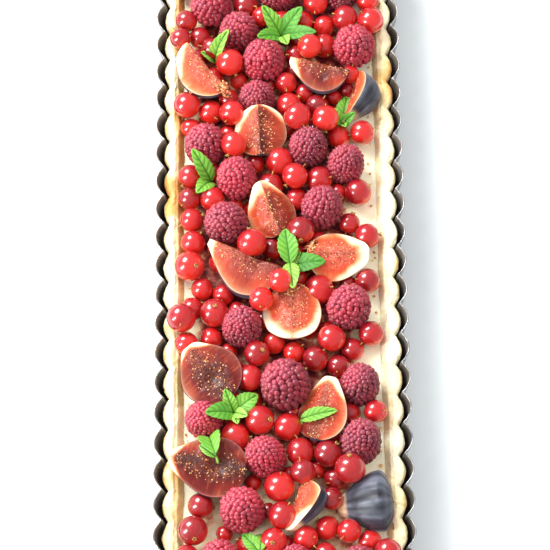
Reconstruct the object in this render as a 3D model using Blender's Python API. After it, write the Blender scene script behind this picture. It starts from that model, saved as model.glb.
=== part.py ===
"""A berry tart in its long fluted tin: a shortcrust shell filled with pastry cream, with raspberries, pieces of
fig and redcurrants piled on the cream. Lengths are written in millimetres and built in metres. The tin stands on
the XY plane, centred on the origin, with its long side along Y."""

import math

import bmesh
import bpy
from mathutils import Matrix, Vector
from mathutils.bvhtree import BVHTree

MM = 0.001
GAP = 0.3  # left between neighbouring pieces

# The tin: a ring of round flutes that meet in sharp cusps, on a rectangle through the cusps at the rim.
FLUTE_PITCH = 13.2
LONG_FLUTES = 24
END_FLUTES = 6
CUSP_HALF_WIDTH = 51.0
CUSP_HALF_LENGTH = 171.0
FLUTE_DEPTH = 3.8
FLUTE_STEPS = 3
TIN_HEIGHT = 25.0
TIN_WALL = 0.7
TIN_LEAN = 3.0  # how far the foot stands inside the rim, on each side

# The shell: it has shrunk away from the tin and its rim is a little lower.
SHELL_FOOT = TIN_WALL + GAP
SHELL_TOP = 22.5
SHELL_EDGE = 20.6  # where the outer side starts to round over
SHELL_SHRINK = 1.5  # between the tin's inner face and the shell
SHELL_FLUTE_DEPTH = 2.7
SHELL_ROUNDING = 1.5
SHELL_FLOOR = 4.5
RIM_HALF_WIDTH = 45.0  # inner edge of the rim's flat top
RIM_HALF_LENGTH = 165.0
WELL_HALF_WIDTH = 42.0  # the inner slope meets the cream here
WELL_HALF_LENGTH = 162.0
WELL_CORNER = 9.0
WELL_TAPER = 1.0  # how much narrower the well is at its floor, on each side
CORNER_STEPS = 5

CREAM_TOP = 17.5
CREAM_SAG = 0.6  # how much lower the cream is under the fruit than at its edge
CREAM_EDGE = 5.0  # the width of the band where it climbs to the shell
REST_HEIGHT = CREAM_TOP - CREAM_SAG + GAP  # where the fruit rests

RASPBERRY_SIDES = 8
RASPBERRY_PROFILE = ((0.0, 0.72), (0.34, 1.0), (0.76, 0.78))  # height and half width, as shares of the whole

# Raspberries: centre x, y, width, length, lean of the tip from upright, and the way it leans.
RASPBERRIES = (
    (-29.5, 130.5, 18.5, 18.5, 30, 80),
    (-17.5, 117.0, 18.0, 17.5, 25, 110),
    (-6.5, 102.5, 19.0, 19.5, 30, 100),
    (-9.5, 84.5, 16.5, 15.5, 20, 90),
    (-32.5, 62.5, 18.5, 18.5, 20, 95),
    (-19.0, 46.0, 18.0, 20.0, 35, 110),
    (-24.0, 25.0, 19.5, 19.0, 25, 140),
    (13.0, 60.0, 17.0, 18.0, 25, 80),
    (29.5, 51.5, 16.5, 18.0, 25, 60),
    (19.0, 31.5, 18.5, 20.0, 35, 70),
    (34.0, 108.0, 18.5, 19.0, 25, 90),
    (29.5, 136.0, 16.5, 17.0, 20, 60),
    (0.5, 136.0, 16.5, 17.5, 20, 90),
    (-16.5, -22.0, 17.0, 18.5, 30, 80),
    (29.5, -14.5, 19.0, 20.5, 35, 60),
    (1.0, -48.5, 21.5, 22.0, 30, 110),
    (33.0, -49.0, 17.0, 18.5, 25, 70),
    (-33.5, -62.5, 16.0, 16.0, 25, 110),
    (33.0, -73.5, 17.5, 20.5, 40, 70),
    (-8.0, -79.5, 17.5, 18.5, 25, 120),
    (-17.5, -102.0, 19.0, 19.0, 25, 110),
    (-26.5, -122.5, 17.0, 17.0, 20, 90),
    (4.5, -125.0, 16.0, 17.0, 20, 90),
    (30.5, -126.0, 16.5, 17.0, 20, 90),
    (-28.5, 153.0, 18.0, 18.0, 25, 30),
    (-33.0, -147.0, 18.5, 19.0, 25, 60),
    (12.5, -147.5, 18.0, 18.5, 25, 200),
)

FIG_STATIONS = (0.10, 0.30, 0.60, 0.86)  # places of the rings along a fig, from its stem
FIG_FACET = 40  # degrees of skin to a facet

# Fig pieces: middle of the cut edge x, y, z, heading of the blossom end, its lift, roll of the skin away from
# straight down, length, radius, and the sector that was cut, 180 for a half.
FIGS = (
    (-32.5, 97.0, 31.5, -52, -4, -48, 29.0, 14.0, 84),
    (18.5, 96.5, 31.0, -16, 0, -20, 27.0, 13.0, 110),
    (31.5, 83.5, 22.5, 72, 0, -126, 26.0, 13.5, 68),
    (-8.5, 66.5, 31.5, -88, -8, 5, 23.0, 13.0, 130),
    (-4.0, 29.5, 31.0, -69, -8, 0, 26.0, 12.5, 116),
    (-14.5, 8.0, 31.5, -24, 0, -69, 36.0, 18.5, 42),
    (25.0, 8.0, 31.5, 180, 0, 0, 27.0, 13.0, 120),
    (4.5, -17.5, 31.8, 88, 0, 0, 25.0, 13.5, 140),
    (-30.5, -43.5, 31.3, -52, 0, 4, 29.0, 13.4, 168),
    (16.5, -60.5, 30.5, -106, -4, 18, 28.0, 11.5, 150),
    (-31.0, -84.0, 31.3, -12, 0, 0, 33.0, 13.2, 164),
    (4.5, -101.0, 21.5, 71, 0, -123, 23.0, 13.0, 58),
    (33.5, -99.5, 21.5, 4, 12, 180, 24.0, 13.4, 150),
    (5.0, 155.5, 31.3, 60, 0, 0, 27.0, 12.5, 120),
    (-11.0, -140.5, 31.3, 15, 0, 0, 30.0, 13.0, 130),
)

# Redcurrants, a heap to a name: centre x, y, z and diameter. Each touches another of its heap.
REDCURRANTS = {
    "redcurrants_top_left": (
        (-39.5, 125.0, 23.5, 10.0),
        (-43.0, 114.0, 25.0, 9.5),
        (-36.5, 116.0, 23.5, 10.0),
        (-29.5, 109.0, 26.0, 10.0),
        (-20.5, 100.5, 28.5, 12.5),
    ),
    "redcurrants_top": (
        (-13.0, 131.0, 24.0, 11.5),
        (-5.5, 124.5, 24.5, 9.5),
        (2.5, 126.0, 22.5, 10.0),
        (10.5, 122.0, 22.5, 9.5),
        (18.5, 120.5, 23.0, 10.0),
        (17.5, 129.5, 25.0, 11.0),
        (9.0, 114.0, 23.0, 9.0),
        (8.5, 107.5, 23.5, 9.0),
        (15.5, 107.5, 28.5, 11.0),
        (20.5, 112.0, 24.5, 11.0),
        (28.5, 122.0, 25.0, 11.5),
        (39.5, 120.0, 26.0, 12.0),
        (15.5, 140.5, 25.0, 12.0),
        (19.5, 150.0, 24.0, 11.5),
        (39.5, 130.5, 25.0, 10.5),
        (40.0, 142.0, 25.0, 11.5),
        (30.0, 149.0, 24.5, 12.0),
        (38.0, 157.0, 25.0, 12.0),
        (-15.5, 142.0, 24.5, 12.0),
        (-12.0, 152.5, 24.0, 12.0),
        (-17.5, 161.0, 24.0, 11.5),
        (-29.0, 141.0, 23.5, 10.5),
        (-39.0, 139.5, 24.5, 11.5),
    ),
    "redcurrants_left_upper": (
        (-39.0, 82.5, 24.0, 12.0),
        (-39.5, 73.0, 22.5, 9.0),
        (-27.5, 79.0, 24.0, 11.0),
        (-20.5, 78.5, 25.0, 11.5),
        (-22.0, 70.0, 22.0, 8.5),
        (-20.5, 61.0, 27.0, 11.5),
    ),
    "redcurrants_right_upper": (
        (3.5, 91.5, 23.5, 10.0),
        (9.0, 86.5, 22.5, 9.0),
        (7.5, 80.0, 25.0, 11.5),
        (9.5, 72.5, 28.5, 12.0),
        (18.0, 78.5, 25.5, 10.5),
        (19.5, 71.5, 28.0, 12.0),
        (26.0, 67.0, 24.0, 10.5),
        (35.5, 66.5, 24.0, 11.0),
    ),
    "redcurrants_middle": (
        (1.5, 55.0, 27.0, 12.5),
        (7.5, 47.0, 26.5, 11.5),
        (17.5, 47.5, 26.0, 11.5),
        (-3.5, 43.5, 24.0, 11.5),
        (8.0, 38.5, 24.0, 10.0),
    ),
    "redcurrant_right_lone": (
        (34.0, 39.0, 24.0, 12.0),
    ),
    "redcurrants_right_pair": (
        (30.0, 24.5, 22.5, 9.5),
        (37.5, 18.0, 24.0, 11.0),
    ),
    "redcurrants_left": (
        (-39.0, 47.5, 23.5, 11.0),
        (-30.0, 38.0, 24.5, 11.0),
        (-38.0, 37.5, 23.0, 10.0),
        (-38.5, 27.5, 23.5, 10.5),
        (-38.0, 16.0, 23.5, 11.0),
        (-38.5, 5.0, 24.5, 13.0),
        (-34.5, -4.0, 22.5, 10.0),
        (-26.5, -7.5, 22.5, 9.5),
        (-28.5, -15.5, 25.5, 12.5),
        (-38.0, -12.5, 23.0, 10.0),
        (-41.5, -19.0, 28.0, 12.5),
        (-30.0, -26.0, 22.5, 10.0),
        (-41.5, -28.0, 25.0, 10.0),
    ),
    "redcurrants_centre": (
        (10.0, 20.0, 28.0, 12.0),
        (4.0, 10.5, 23.5, 11.0),
        (-5.0, 13.0, 23.5, 10.5),
        (-14.0, 15.5, 28.5, 13.0),
        (8.0, 1.0, 23.0, 10.5),
        (-0.5, -3.5, 26.5, 10.5),
        (17.0, -4.5, 27.0, 13.0),
        (-9.0, -12.0, 25.5, 11.0),
    ),
    "redcurrant_right_low": (
        (37.0, -2.5, 23.5, 11.0),
    ),
    "redcurrants_lower": (
        (-11.0, -34.5, 25.0, 11.0),
        (-3.5, -31.0, 22.5, 10.0),
        (5.5, -33.5, 22.5, 9.5),
        (14.0, -36.0, 24.0, 11.0),
        (21.0, -30.0, 26.5, 12.0),
        (22.5, -39.5, 23.0, 10.0),
        (29.5, -32.5, 22.5, 10.0),
        (37.5, -26.5, 24.0, 11.0),
        (-15.0, -44.5, 25.5, 11.5),
        (-12.5, -54.5, 23.0, 9.5),
        (-10.5, -64.0, 25.0, 12.5),
        (1.5, -65.0, 25.0, 12.0),
        (-20.5, -72.0, 26.5, 13.0),
    ),
    "redcurrant_right_lowest": (
        (38.5, -60.0, 25.0, 10.0),
    ),
    "redcurrants_near_end": (
        (7.5, -79.5, 25.5, 12.0),
        (6.0, -86.5, 28.0, 10.5),
        (18.5, -80.0, 25.5, 12.0),
        (29.0, -85.5, 28.5, 13.0),
        (24.0, -89.5, 23.0, 10.0),
        (21.0, -100.0, 23.0, 10.0),
        (19.0, -111.5, 22.5, 10.5),
        (26.5, -111.5, 24.0, 10.0),
        (34.5, -115.0, 25.0, 10.0),
        (40.0, -121.5, 25.5, 11.5),
        (10.5, -114.0, 24.0, 10.5),
        (16.5, -121.5, 24.5, 10.0),
        (-3.5, -91.5, 26.0, 13.0),
        (-2.0, -103.5, 25.5, 12.0),
        (-5.0, -114.0, 25.0, 11.0),
        (-13.0, -116.5, 23.0, 10.0),
        (-9.5, -125.0, 24.0, 11.5),
        (17.0, -131.5, 24.5, 11.5),
        (27.5, -140.0, 24.5, 12.0),
        (38.0, -135.0, 24.0, 11.5),
        (34.0, -149.0, 24.0, 12.0),
        (23.0, -158.0, 25.0, 12.0),
        (11.5, -159.0, 24.5, 11.5),
        (1.0, -157.0, 24.0, 11.5),
        (-10.0, -157.5, 25.0, 12.0),
        (-21.5, -158.5, 24.0, 11.5),
    ),
    "redcurrants_left_low": (
        (-35.0, -101.0, 23.5, 11.0),
        (-37.5, -110.5, 25.0, 12.5),
        (-39.5, -121.5, 24.0, 11.0),
        (-39.0, -132.5, 24.0, 11.5),
        (-28.5, -133.0, 24.0, 10.5),
    ),
    "redcurrant_behind_fig": (
        (34.0, 95.5, 27.0, 8.5),
    ),
}
CURRANT_CORNERS = 1.12  # corners stand out of the true ball and faces lie inside it
CURRANT_PRESS = 1.4  # how far two currants of one heap press into each other
CURRANT_SEARCH = 8.0  # how far around itself a currant feels for fruit
CURRANT_ROLL = 3.0  # the furthest one rolls from its place
CURRANT_ROUNDS = 60


def clear_scene():
    for thing in list(bpy.data.objects):
        bpy.data.objects.remove(thing, do_unlink=True)


def make_material(name, colour, roughness, metallic=0.0):
    material = bpy.data.materials.new(name)
    material.use_nodes = True
    shader = material.node_tree.nodes["Principled BSDF"]
    shader.inputs["Base Color"].default_value = (*colour, 1.0)
    shader.inputs["Roughness"].default_value = roughness
    shader.inputs["Metallic"].default_value = metallic
    return material


def make_object(name, points, faces, material):
    """A mesh object from points in millimetres, with its faces turned outwards."""
    shape = bmesh.new()
    corners = [shape.verts.new(Vector(point) * MM) for point in points]
    for face in faces:
        shape.faces.new([corners[index] for index in face])
    bmesh.ops.recalc_face_normals(shape, faces=shape.faces)
    mesh = bpy.data.meshes.new(name)
    shape.to_mesh(mesh)
    shape.free()
    mesh.materials.append(material)
    thing = bpy.data.objects.new(name, mesh)
    bpy.context.scene.collection.objects.link(thing)
    return thing


def loft(rings):
    """Points and faces of a closed solid through rings of equal count, from the lowest to the highest."""
    count = len(rings[0])
    points = [point for ring in rings for point in ring]
    faces = [tuple(reversed(range(count)))]
    for level in range(len(rings) - 1):
        start = level * count
        for index in range(count):
            after = (index + 1) % count
            faces.append((start + index, start + after, start + count + after, start + count + index))
    faces.append(tuple(range(len(points) - count, len(points))))
    return points, faces


def cusps(inset):
    """The cusps in plan, anticlockwise from the +X side's -Y end, moved in by inset."""
    half_width = CUSP_HALF_WIDTH - inset
    half_length = CUSP_HALF_LENGTH - inset
    run = LONG_FLUTES * FLUTE_PITCH / 2
    span = END_FLUTES * FLUTE_PITCH / 2
    right = [(half_width, -run + FLUTE_PITCH * step) for step in range(LONG_FLUTES + 1)]
    far = [(span - FLUTE_PITCH * step, half_length) for step in range(END_FLUTES + 1)]
    return right + far + [(-x, -y) for x, y in right + far]


def fluted_ring(inset, depth, z):
    """The fluted outline at a height: between each two cusps the wall swells out by depth."""
    corners = cusps(inset)
    ring = []
    for index, (x0, y0) in enumerate(corners):
        x1, y1 = corners[(index + 1) % len(corners)]
        length = math.hypot(x1 - x0, y1 - y0)
        out_x, out_y = (y1 - y0) / length, (x0 - x1) / length
        for step in range(FLUTE_STEPS):
            share = step / FLUTE_STEPS
            swell = depth * 4 * share * (1 - share)
            ring.append((x0 + (x1 - x0) * share + out_x * swell, y0 + (y1 - y0) * share + out_y * swell, z))
    return ring


def rounded_ring(half_width, half_length, corner, z):
    """A rectangle with rounded corners, at a height."""
    ring = []
    for quarter, (sign_x, sign_y) in enumerate(((1, 1), (-1, 1), (-1, -1), (1, -1))):
        for step in range(CORNER_STEPS + 1):
            angle = math.radians(90 * (quarter + step / CORNER_STEPS))
            x = sign_x * (half_width - corner) + corner * math.cos(angle)
            y = sign_y * (half_length - corner) + corner * math.sin(angle)
            ring.append((x, y, z))
    return ring


def lean_inset(z):
    """How far the tin's outer face stands inside its rim at a height."""
    return TIN_LEAN * (1 - z / TIN_HEIGHT)


def settle_modifiers(thing):
    """Keeps the mesh that the modifiers give and drops the modifiers."""
    graph = bpy.context.evaluated_depsgraph_get()
    mesh = bpy.data.meshes.new_from_object(thing.evaluated_get(graph))
    thing.modifiers.clear()
    thing.data = mesh


def cut_with(thing, cutter):
    """Takes the cutter out of a piece and deletes the cutter."""
    cut = thing.modifiers.new("cut", "BOOLEAN")
    cut.operation = "DIFFERENCE"
    cut.object = cutter
    settle_modifiers(thing)
    bpy.data.objects.remove(cutter, do_unlink=True)


def make_tin(material):
    floor_inset = lean_inset(TIN_WALL) + TIN_WALL
    rings = [
        fluted_ring(TIN_LEAN, FLUTE_DEPTH, 0.0),
        fluted_ring(0.0, FLUTE_DEPTH, TIN_HEIGHT),
        fluted_ring(TIN_WALL, FLUTE_DEPTH, TIN_HEIGHT),
        fluted_ring(floor_inset, FLUTE_DEPTH, TIN_WALL),
    ]
    return make_object("tin", *loft(rings), material)


def make_shell(material):
    """The baked shell: fluted outside like the tin, with a rounded rim, and a smooth well inside."""
    reach = TIN_WALL + SHELL_SHRINK
    rings = [
        fluted_ring(lean_inset(SHELL_FOOT) + reach, SHELL_FLUTE_DEPTH, SHELL_FOOT),
        fluted_ring(lean_inset(SHELL_EDGE) + reach, SHELL_FLUTE_DEPTH, SHELL_EDGE),
        fluted_ring(lean_inset(SHELL_TOP) + reach + SHELL_ROUNDING, SHELL_FLUTE_DEPTH, SHELL_TOP),
    ]
    shell = make_object("shortcrust_shell", *loft(rings), material)
    slope = (RIM_HALF_WIDTH - WELL_HALF_WIDTH) / (SHELL_TOP - CREAM_TOP)
    above = 1.0
    well = [  # runs on above the rim, so that it cuts clean through
        rounded_ring(WELL_HALF_WIDTH - WELL_TAPER, WELL_HALF_LENGTH - WELL_TAPER, WELL_CORNER, SHELL_FLOOR),
        rounded_ring(WELL_HALF_WIDTH, WELL_HALF_LENGTH, WELL_CORNER, CREAM_TOP),
        rounded_ring(
            RIM_HALF_WIDTH + slope * above, RIM_HALF_LENGTH + slope * above, WELL_CORNER, SHELL_TOP + above
        ),
    ]
    cut_with(shell, make_object("well", *loft(well), material))
    return shell


def make_cream(material):
    """The cream fills the well and sinks a little towards the middle."""
    foot = WELL_TAPER + GAP
    rings = [
        rounded_ring(WELL_HALF_WIDTH - foot, WELL_HALF_LENGTH - foot, WELL_CORNER, SHELL_FLOOR + GAP),
        rounded_ring(WELL_HALF_WIDTH - GAP, WELL_HALF_LENGTH - GAP, WELL_CORNER, CREAM_TOP),
        rounded_ring(
            WELL_HALF_WIDTH - CREAM_EDGE, WELL_HALF_LENGTH - CREAM_EDGE, WELL_CORNER, CREAM_TOP - CREAM_SAG
        ),
    ]
    return make_object("pastry_cream", *loft(rings), material)


def lean_matrix(lean, heading):
    """Turns upright into a lean away from it, towards a heading in plan."""
    turn = Matrix.Rotation(math.radians(heading), 4, "Z")
    return turn @ Matrix.Rotation(math.radians(lean), 4, "Y") @ turn.inverted()


def rested(points):
    """Lowers or lifts points until the lowest rests on the cream."""
    lift = Vector((0.0, 0.0, REST_HEIGHT - min(point.z for point in points)))
    return [point + lift for point in points]


def make_raspberry(name, berry, material):
    """A thimble shape: a flat end where it came off its core, widest above that, and a round tip."""
    x, y, width, length, lean, heading = berry
    rings = []
    for height, reach in RASPBERRY_PROFILE:
        rings.append([])
        for side in range(RASPBERRY_SIDES):
            angle = math.tau * side / RASPBERRY_SIDES
            radius = reach * width / 2
            rings[-1].append((radius * math.cos(angle), radius * math.sin(angle), (height - 0.5) * length))
    points, faces = loft(rings)
    top = faces.pop()
    points.append((0.0, 0.0, length / 2))
    tip = len(points) - 1
    faces += [(top[index], top[(index + 1) % RASPBERRY_SIDES], tip) for index in range(RASPBERRY_SIDES)]
    place = Matrix.Translation((x, y, 0.0)) @ lean_matrix(lean, heading)
    return make_object(name, rested([place @ Vector(point) for point in points]), faces, material)


def fig_reach(share):
    """The fig's radius along its length, 0 at the stem and 1 at the blossom end, as a share of its widest."""
    return math.sin(math.pi * share**1.25) ** 0.8


def make_fig(name, piece, material):
    """A wedge or a half, cut along the fig: round skin on one side and two flat cut faces that meet in its axis."""
    x, y, z, heading, lift, roll, length, radius, sector = piece
    steps = max(2, round(sector / FIG_FACET))
    points = [(-length / 2, 0.0, 0.0)]
    for station in FIG_STATIONS:
        for step in range(steps + 1):
            angle = math.radians(sector * (step / steps - 0.5))
            reach = radius * fig_reach(station)
            points.append(((station - 0.5) * length, reach * math.sin(angle), -reach * math.cos(angle)))
    points.append((length / 2, 0.0, 0.0))
    row = steps + 1
    last = len(points) - 1
    faces = []
    for step in range(steps):
        faces.append((0, 1 + step, 2 + step))
        faces.append((last, last - row + step + 1, last - row + step))
        for station in range(len(FIG_STATIONS) - 1):
            start = 1 + station * row + step
            faces.append((start, start + row, start + row + 1, start + 1))
    for side in (0, steps):
        faces.append([0, *(1 + station * row + side for station in range(len(FIG_STATIONS))), last])
    place = (
        Matrix.Translation((x, y, z))
        @ Matrix.Rotation(math.radians(heading), 4, "Z")
        @ Matrix.Rotation(math.radians(-lift), 4, "Y")
        @ Matrix.Rotation(math.radians(roll), 4, "X")
    )
    return make_object(name, [place @ Vector(point) for point in points], faces, material)


def surface_of(thing):
    """A search tree over a finished piece's faces, in millimetres, and each face's centre and normal."""
    points = [vertex.co / MM for vertex in thing.data.vertices]
    faces = thing.data.polygons
    tree = BVHTree.FromPolygons(points, [tuple(face.vertices) for face in faces])
    return tree, [(face.center / MM, face.normal.copy()) for face in faces]


def is_inside(point, planes):
    """Whether a point lies behind every face, which tells inside from outside on a bulging shape."""
    return all((point - centre).dot(normal) < 0 for centre, normal in planes)


def step_off(centre, reach, tree, planes=()):
    """The move that takes a ball's centre at least reach away from a surface, or none where it is clear."""
    nearest, normal, _, distance = tree.find_nearest(centre, reach + CURRANT_SEARCH)
    if nearest is None:
        return Vector()
    inside = bool(planes) and is_inside(centre, planes)
    depth = reach + distance if inside else reach - distance
    if depth <= 0:
        return Vector()
    away = (nearest - centre) if inside else (centre - nearest)
    return away.normalized() * depth


def nearest_before(balls, index):
    """The currant of the same heap, earlier in the list, that a currant leans on."""
    heap, centre, radius = balls[index]
    before = [other for other in range(index) if balls[other][0] == heap]
    return min(before, key=lambda other: (balls[other][1] - centre).length - balls[other][2], default=None)


def settle_currants(heaps, fruit, shell_tree):
    """Rolls each currant a little way off the larger fruit, and keeps it off the shell, the cream and other heaps.
    Returns heap, centre and radius for each."""
    balls = []
    for heap, currants in heaps.items():
        for x, y, z, diameter in currants:
            balls.append((heap, Vector((x, y, z)), diameter / 2))
    starts = [centre.copy() for _, centre, _ in balls]
    leans_on = [nearest_before(balls, index) for index in range(len(balls))]
    for _ in range(CURRANT_ROUNDS):
        for index, (heap, centre, radius) in enumerate(balls):
            for tree, planes in fruit:
                centre += step_off(centre, radius + GAP, tree, planes) / 2
            for other_heap, other, other_radius in balls[:index]:
                wanted = radius + other_radius + (-CURRANT_PRESS if heap == other_heap else GAP)
                between = centre - other
                if between.length < wanted:
                    push = between.normalized() * (wanted - between.length) / 2
                    centre += push
                    other -= push
            if leans_on[index] is not None:
                _, other, other_radius = balls[leans_on[index]]
                between = other - centre
                pull = between.normalized() * max(0.0, between.length - radius - other_radius + CURRANT_PRESS) / 2
                centre += pull
                other -= pull
            moved = centre - starts[index]
            if moved.length > CURRANT_ROLL:
                centre -= moved * (1 - CURRANT_ROLL / moved.length)
            centre += step_off(centre, radius * CURRANT_CORNERS + GAP, shell_tree)
            centre.z = max(centre.z, REST_HEIGHT + radius * CURRANT_CORNERS)
    return balls


def make_balls(name, balls, material):
    """Balls, each of twenty faces, in one object."""
    shape = bmesh.new()
    for _, centre, radius in balls:
        place = Matrix.Translation(centre * MM)
        bmesh.ops.create_icosphere(shape, subdivisions=1, radius=radius * CURRANT_CORNERS * MM, matrix=place)
    mesh = bpy.data.meshes.new(name)
    shape.to_mesh(mesh)
    shape.free()
    mesh.materials.append(material)
    thing = bpy.data.objects.new(name, mesh)
    bpy.context.scene.collection.objects.link(thing)
    return thing


def join_balls(name, balls, material):
    """Balls that press on each other, as one solid."""
    if len(balls) == 1:
        return make_balls(name, balls, material)
    heap = make_balls(name, balls[:-1], material)
    last = make_balls("last_currant", balls[-1:], material)
    join = heap.modifiers.new("join", "BOOLEAN")
    join.operation = "UNION"
    join.use_self = True
    join.object = last
    settle_modifiers(heap)
    bpy.data.objects.remove(last, do_unlink=True)
    return heap


def grown(thing):
    """A copy of a piece whose faces stand out from it by the gap."""
    shape = bmesh.new()
    shape.from_mesh(thing.data)
    moves = [vertex.normal * (GAP * MM * vertex.calc_shell_factor()) for vertex in shape.verts]
    for vertex, move in zip(shape.verts, moves):
        vertex.co += move
    mesh = bpy.data.meshes.new("grown")
    shape.to_mesh(mesh)
    shape.free()
    copy = bpy.data.objects.new("grown", mesh)
    bpy.context.scene.collection.objects.link(copy)
    return copy


def make_currant_heap(name, balls, fruit, material):
    """One heap of currants, dented where a larger fruit presses on it."""
    heap = join_balls(name, balls, material)
    for thing in fruit:
        dent = grown(thing)
        if surface_of(heap)[0].overlap(surface_of(dent)[0]):
            cut_with(heap, dent)
        else:
            bpy.data.objects.remove(dent, do_unlink=True)
    return heap


def main():
    clear_scene()
    tin_steel = make_material("dark_coated_steel", (0.04, 0.035, 0.03), 0.4, 0.7)
    crust = make_material("baked_shortcrust", (0.88, 0.72, 0.44), 0.75)
    cream = make_material("pastry_cream", (0.87, 0.78, 0.58), 0.5)
    raspberry = make_material("raspberry", (0.42, 0.05, 0.11), 0.55)
    fig = make_material("fig", (0.55, 0.12, 0.07), 0.45)
    currant = make_material("redcurrant", (0.62, 0.01, 0.02), 0.2)
    make_tin(tin_steel)
    shell = make_shell(crust)
    make_cream(cream)
    fruit = [make_raspberry(f"raspberry_{n:02d}", berry, raspberry) for n, berry in enumerate(RASPBERRIES, 1)]
    fruit += [make_fig(f"fig_{n:02d}", piece, fig) for n, piece in enumerate(FIGS, 1)]
    bpy.context.view_layer.update()
    surfaces = [surface_of(thing) for thing in fruit]
    balls = settle_currants(REDCURRANTS, surfaces, surface_of(shell)[0])
    for heap in REDCURRANTS:
        make_currant_heap(heap, [ball for ball in balls if ball[0] == heap], fruit, currant)


main()
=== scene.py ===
# %% [markdown]
# # A berry tart in its long fluted tin
# This lesson dresses a plain solid model of a summer tart: a thin dark tin with round flutes, a pale
# shortcrust shell, set pastry cream, and on it raspberries, cut figs, redcurrants and mint. The solids come
# packed in a frame. Every piece made here stands for one of them, keeps its place and size, and rides on the
# same body.

# %% Load the frame
import math
from functools import partial

import bpy
import numpy as np
from mathutils import Matrix, Vector
from mathutils.bvhtree import BVHTree


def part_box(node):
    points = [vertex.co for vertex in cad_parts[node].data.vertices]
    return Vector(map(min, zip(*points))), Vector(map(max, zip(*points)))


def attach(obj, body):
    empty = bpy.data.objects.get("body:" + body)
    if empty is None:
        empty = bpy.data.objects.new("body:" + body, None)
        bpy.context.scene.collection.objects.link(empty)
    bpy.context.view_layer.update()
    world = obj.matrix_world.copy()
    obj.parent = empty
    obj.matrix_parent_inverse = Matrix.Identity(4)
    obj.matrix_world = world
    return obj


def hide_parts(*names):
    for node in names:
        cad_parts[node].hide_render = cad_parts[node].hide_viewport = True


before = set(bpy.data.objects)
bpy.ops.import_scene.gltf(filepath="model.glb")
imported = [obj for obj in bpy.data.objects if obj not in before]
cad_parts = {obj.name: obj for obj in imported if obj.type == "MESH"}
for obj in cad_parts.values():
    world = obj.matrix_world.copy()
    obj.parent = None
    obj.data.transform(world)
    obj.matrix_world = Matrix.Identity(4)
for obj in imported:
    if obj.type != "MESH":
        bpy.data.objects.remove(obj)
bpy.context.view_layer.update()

MM = 0.001

# %% [markdown]
# ## Helpers for shapes
# Most pieces here are grids of points bent into shape, because a grid takes fine relief well. A few helpers
# do the common work: they lay quads over a grid or a tube, turn points and faces into a piece that rides on
# the tart, and give soft random waves, the same on every run, for all that is uneven in food.

# %% Grids, pieces and waves
def box_mm(node):
    """The lowest and highest corner of a node, in millimetres."""
    low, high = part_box(node)
    return np.array(low) / MM, np.array(high) / MM


def grid_faces(rows, columns, wrap=False):
    """Quads over a grid of points that is stored row by row. With wrap, the last column joins the first."""
    across = columns if wrap else columns - 1
    row, column = np.meshgrid(np.arange(rows - 1), np.arange(across), indexing="ij")
    after = (column + 1) % columns
    low = row * columns
    quads = np.stack([low + column, low + after, low + columns + after, low + columns + column], axis=-1)
    return quads.reshape(-1, 4).tolist()


def grid_border(rows, columns):
    """The points round the edge of a grid, in order."""
    last = rows * columns
    border = [*range(columns), *range(2 * columns - 1, last, columns)]
    return border + [*range(last - 2, last - columns - 1, -1), *range(last - 2 * columns, 0, -columns)]


def tube_faces(rings, sides):
    """Quads round a tube that is stored ring by ring, and a cap on each of its ends."""
    last = rings * sides
    return grid_faces(rings, sides, wrap=True) + [list(range(sides))[::-1], list(range(last - sides, last))]


def angles_round(sides):
    """The angle of each corner of a ring."""
    return [math.tau * side / sides for side in range(sides)]


def make_piece(name, points, faces, materials, kinds=None, values=None, smooth=True):
    """A mesh piece from points in millimetres. kinds gives each face its material, values are point
    attributes."""
    mesh = bpy.data.meshes.new(name)
    mesh.from_pydata((np.asarray(points, float) * MM).tolist(), [], faces)
    for material in materials:
        mesh.materials.append(material)
    if kinds is not None:
        mesh.polygons.foreach_set("material_index", np.asarray(kinds, np.int32))
    mesh.polygons.foreach_set("use_smooth", [smooth] * len(mesh.polygons))
    for key, value in (values or {}).items():
        value = np.asarray(value, np.float32)
        if value.ndim == 1:
            mesh.attributes.new(key, "FLOAT", "POINT").data.foreach_set("value", value)
        else:
            mesh.attributes.new(key, "FLOAT_VECTOR", "POINT").data.foreach_set("vector", value.ravel())
    mesh.update()
    piece = bpy.data.objects.new(name, mesh)
    bpy.context.scene.collection.objects.link(piece)
    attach(piece, "root")
    return piece


LATTICE = np.random.default_rng(3).uniform(-1, 1, 4096)
PRIMES = (73856093, 19349663, 83492791)  # scatter neighbouring cells over the lattice


def waves(points, size, seed=0):
    """Soft random waves from -1 to 1 whose lumps are about size across."""
    place = np.asarray(points, float) / size + 500.0 + 17.3 * seed
    cell = np.floor(place).astype(np.int64)
    share = place - cell
    share = share * share * (3 - 2 * share)
    total = np.zeros(len(place))
    for corner in np.ndindex(2, 2, 2):
        at = cell + corner
        pick = np.bitwise_xor.reduce(at * PRIMES, axis=1) % len(LATTICE)
        weight = np.prod(np.where(corner, share, 1 - share), axis=1)
        total += LATTICE[pick] * weight
    return total


def push_out(piece, distance):
    """Moves each point of a piece along its normal by its own distance in millimetres."""
    mesh = piece.data
    place = np.empty(len(mesh.vertices) * 3)
    normal = np.empty(len(mesh.vertices) * 3, np.float32)
    mesh.vertices.foreach_get("co", place)
    mesh.vertex_normals.foreach_get("vector", normal)
    move = normal.reshape(-1, 3) * np.asarray(distance)[:, None] * MM
    mesh.vertices.foreach_set("co", place + move.ravel())
    mesh.update()


# %% [markdown]
# ## Helpers for finishes
# A finish is a small network of nodes around one Principled shader. Colours are picked as sRGB hex values, as
# from a colour chart, and Blender works in linear light, so one function converts them. Others start a
# finish, add a node, and fill or link its inputs, which keeps each material short to read.

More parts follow.
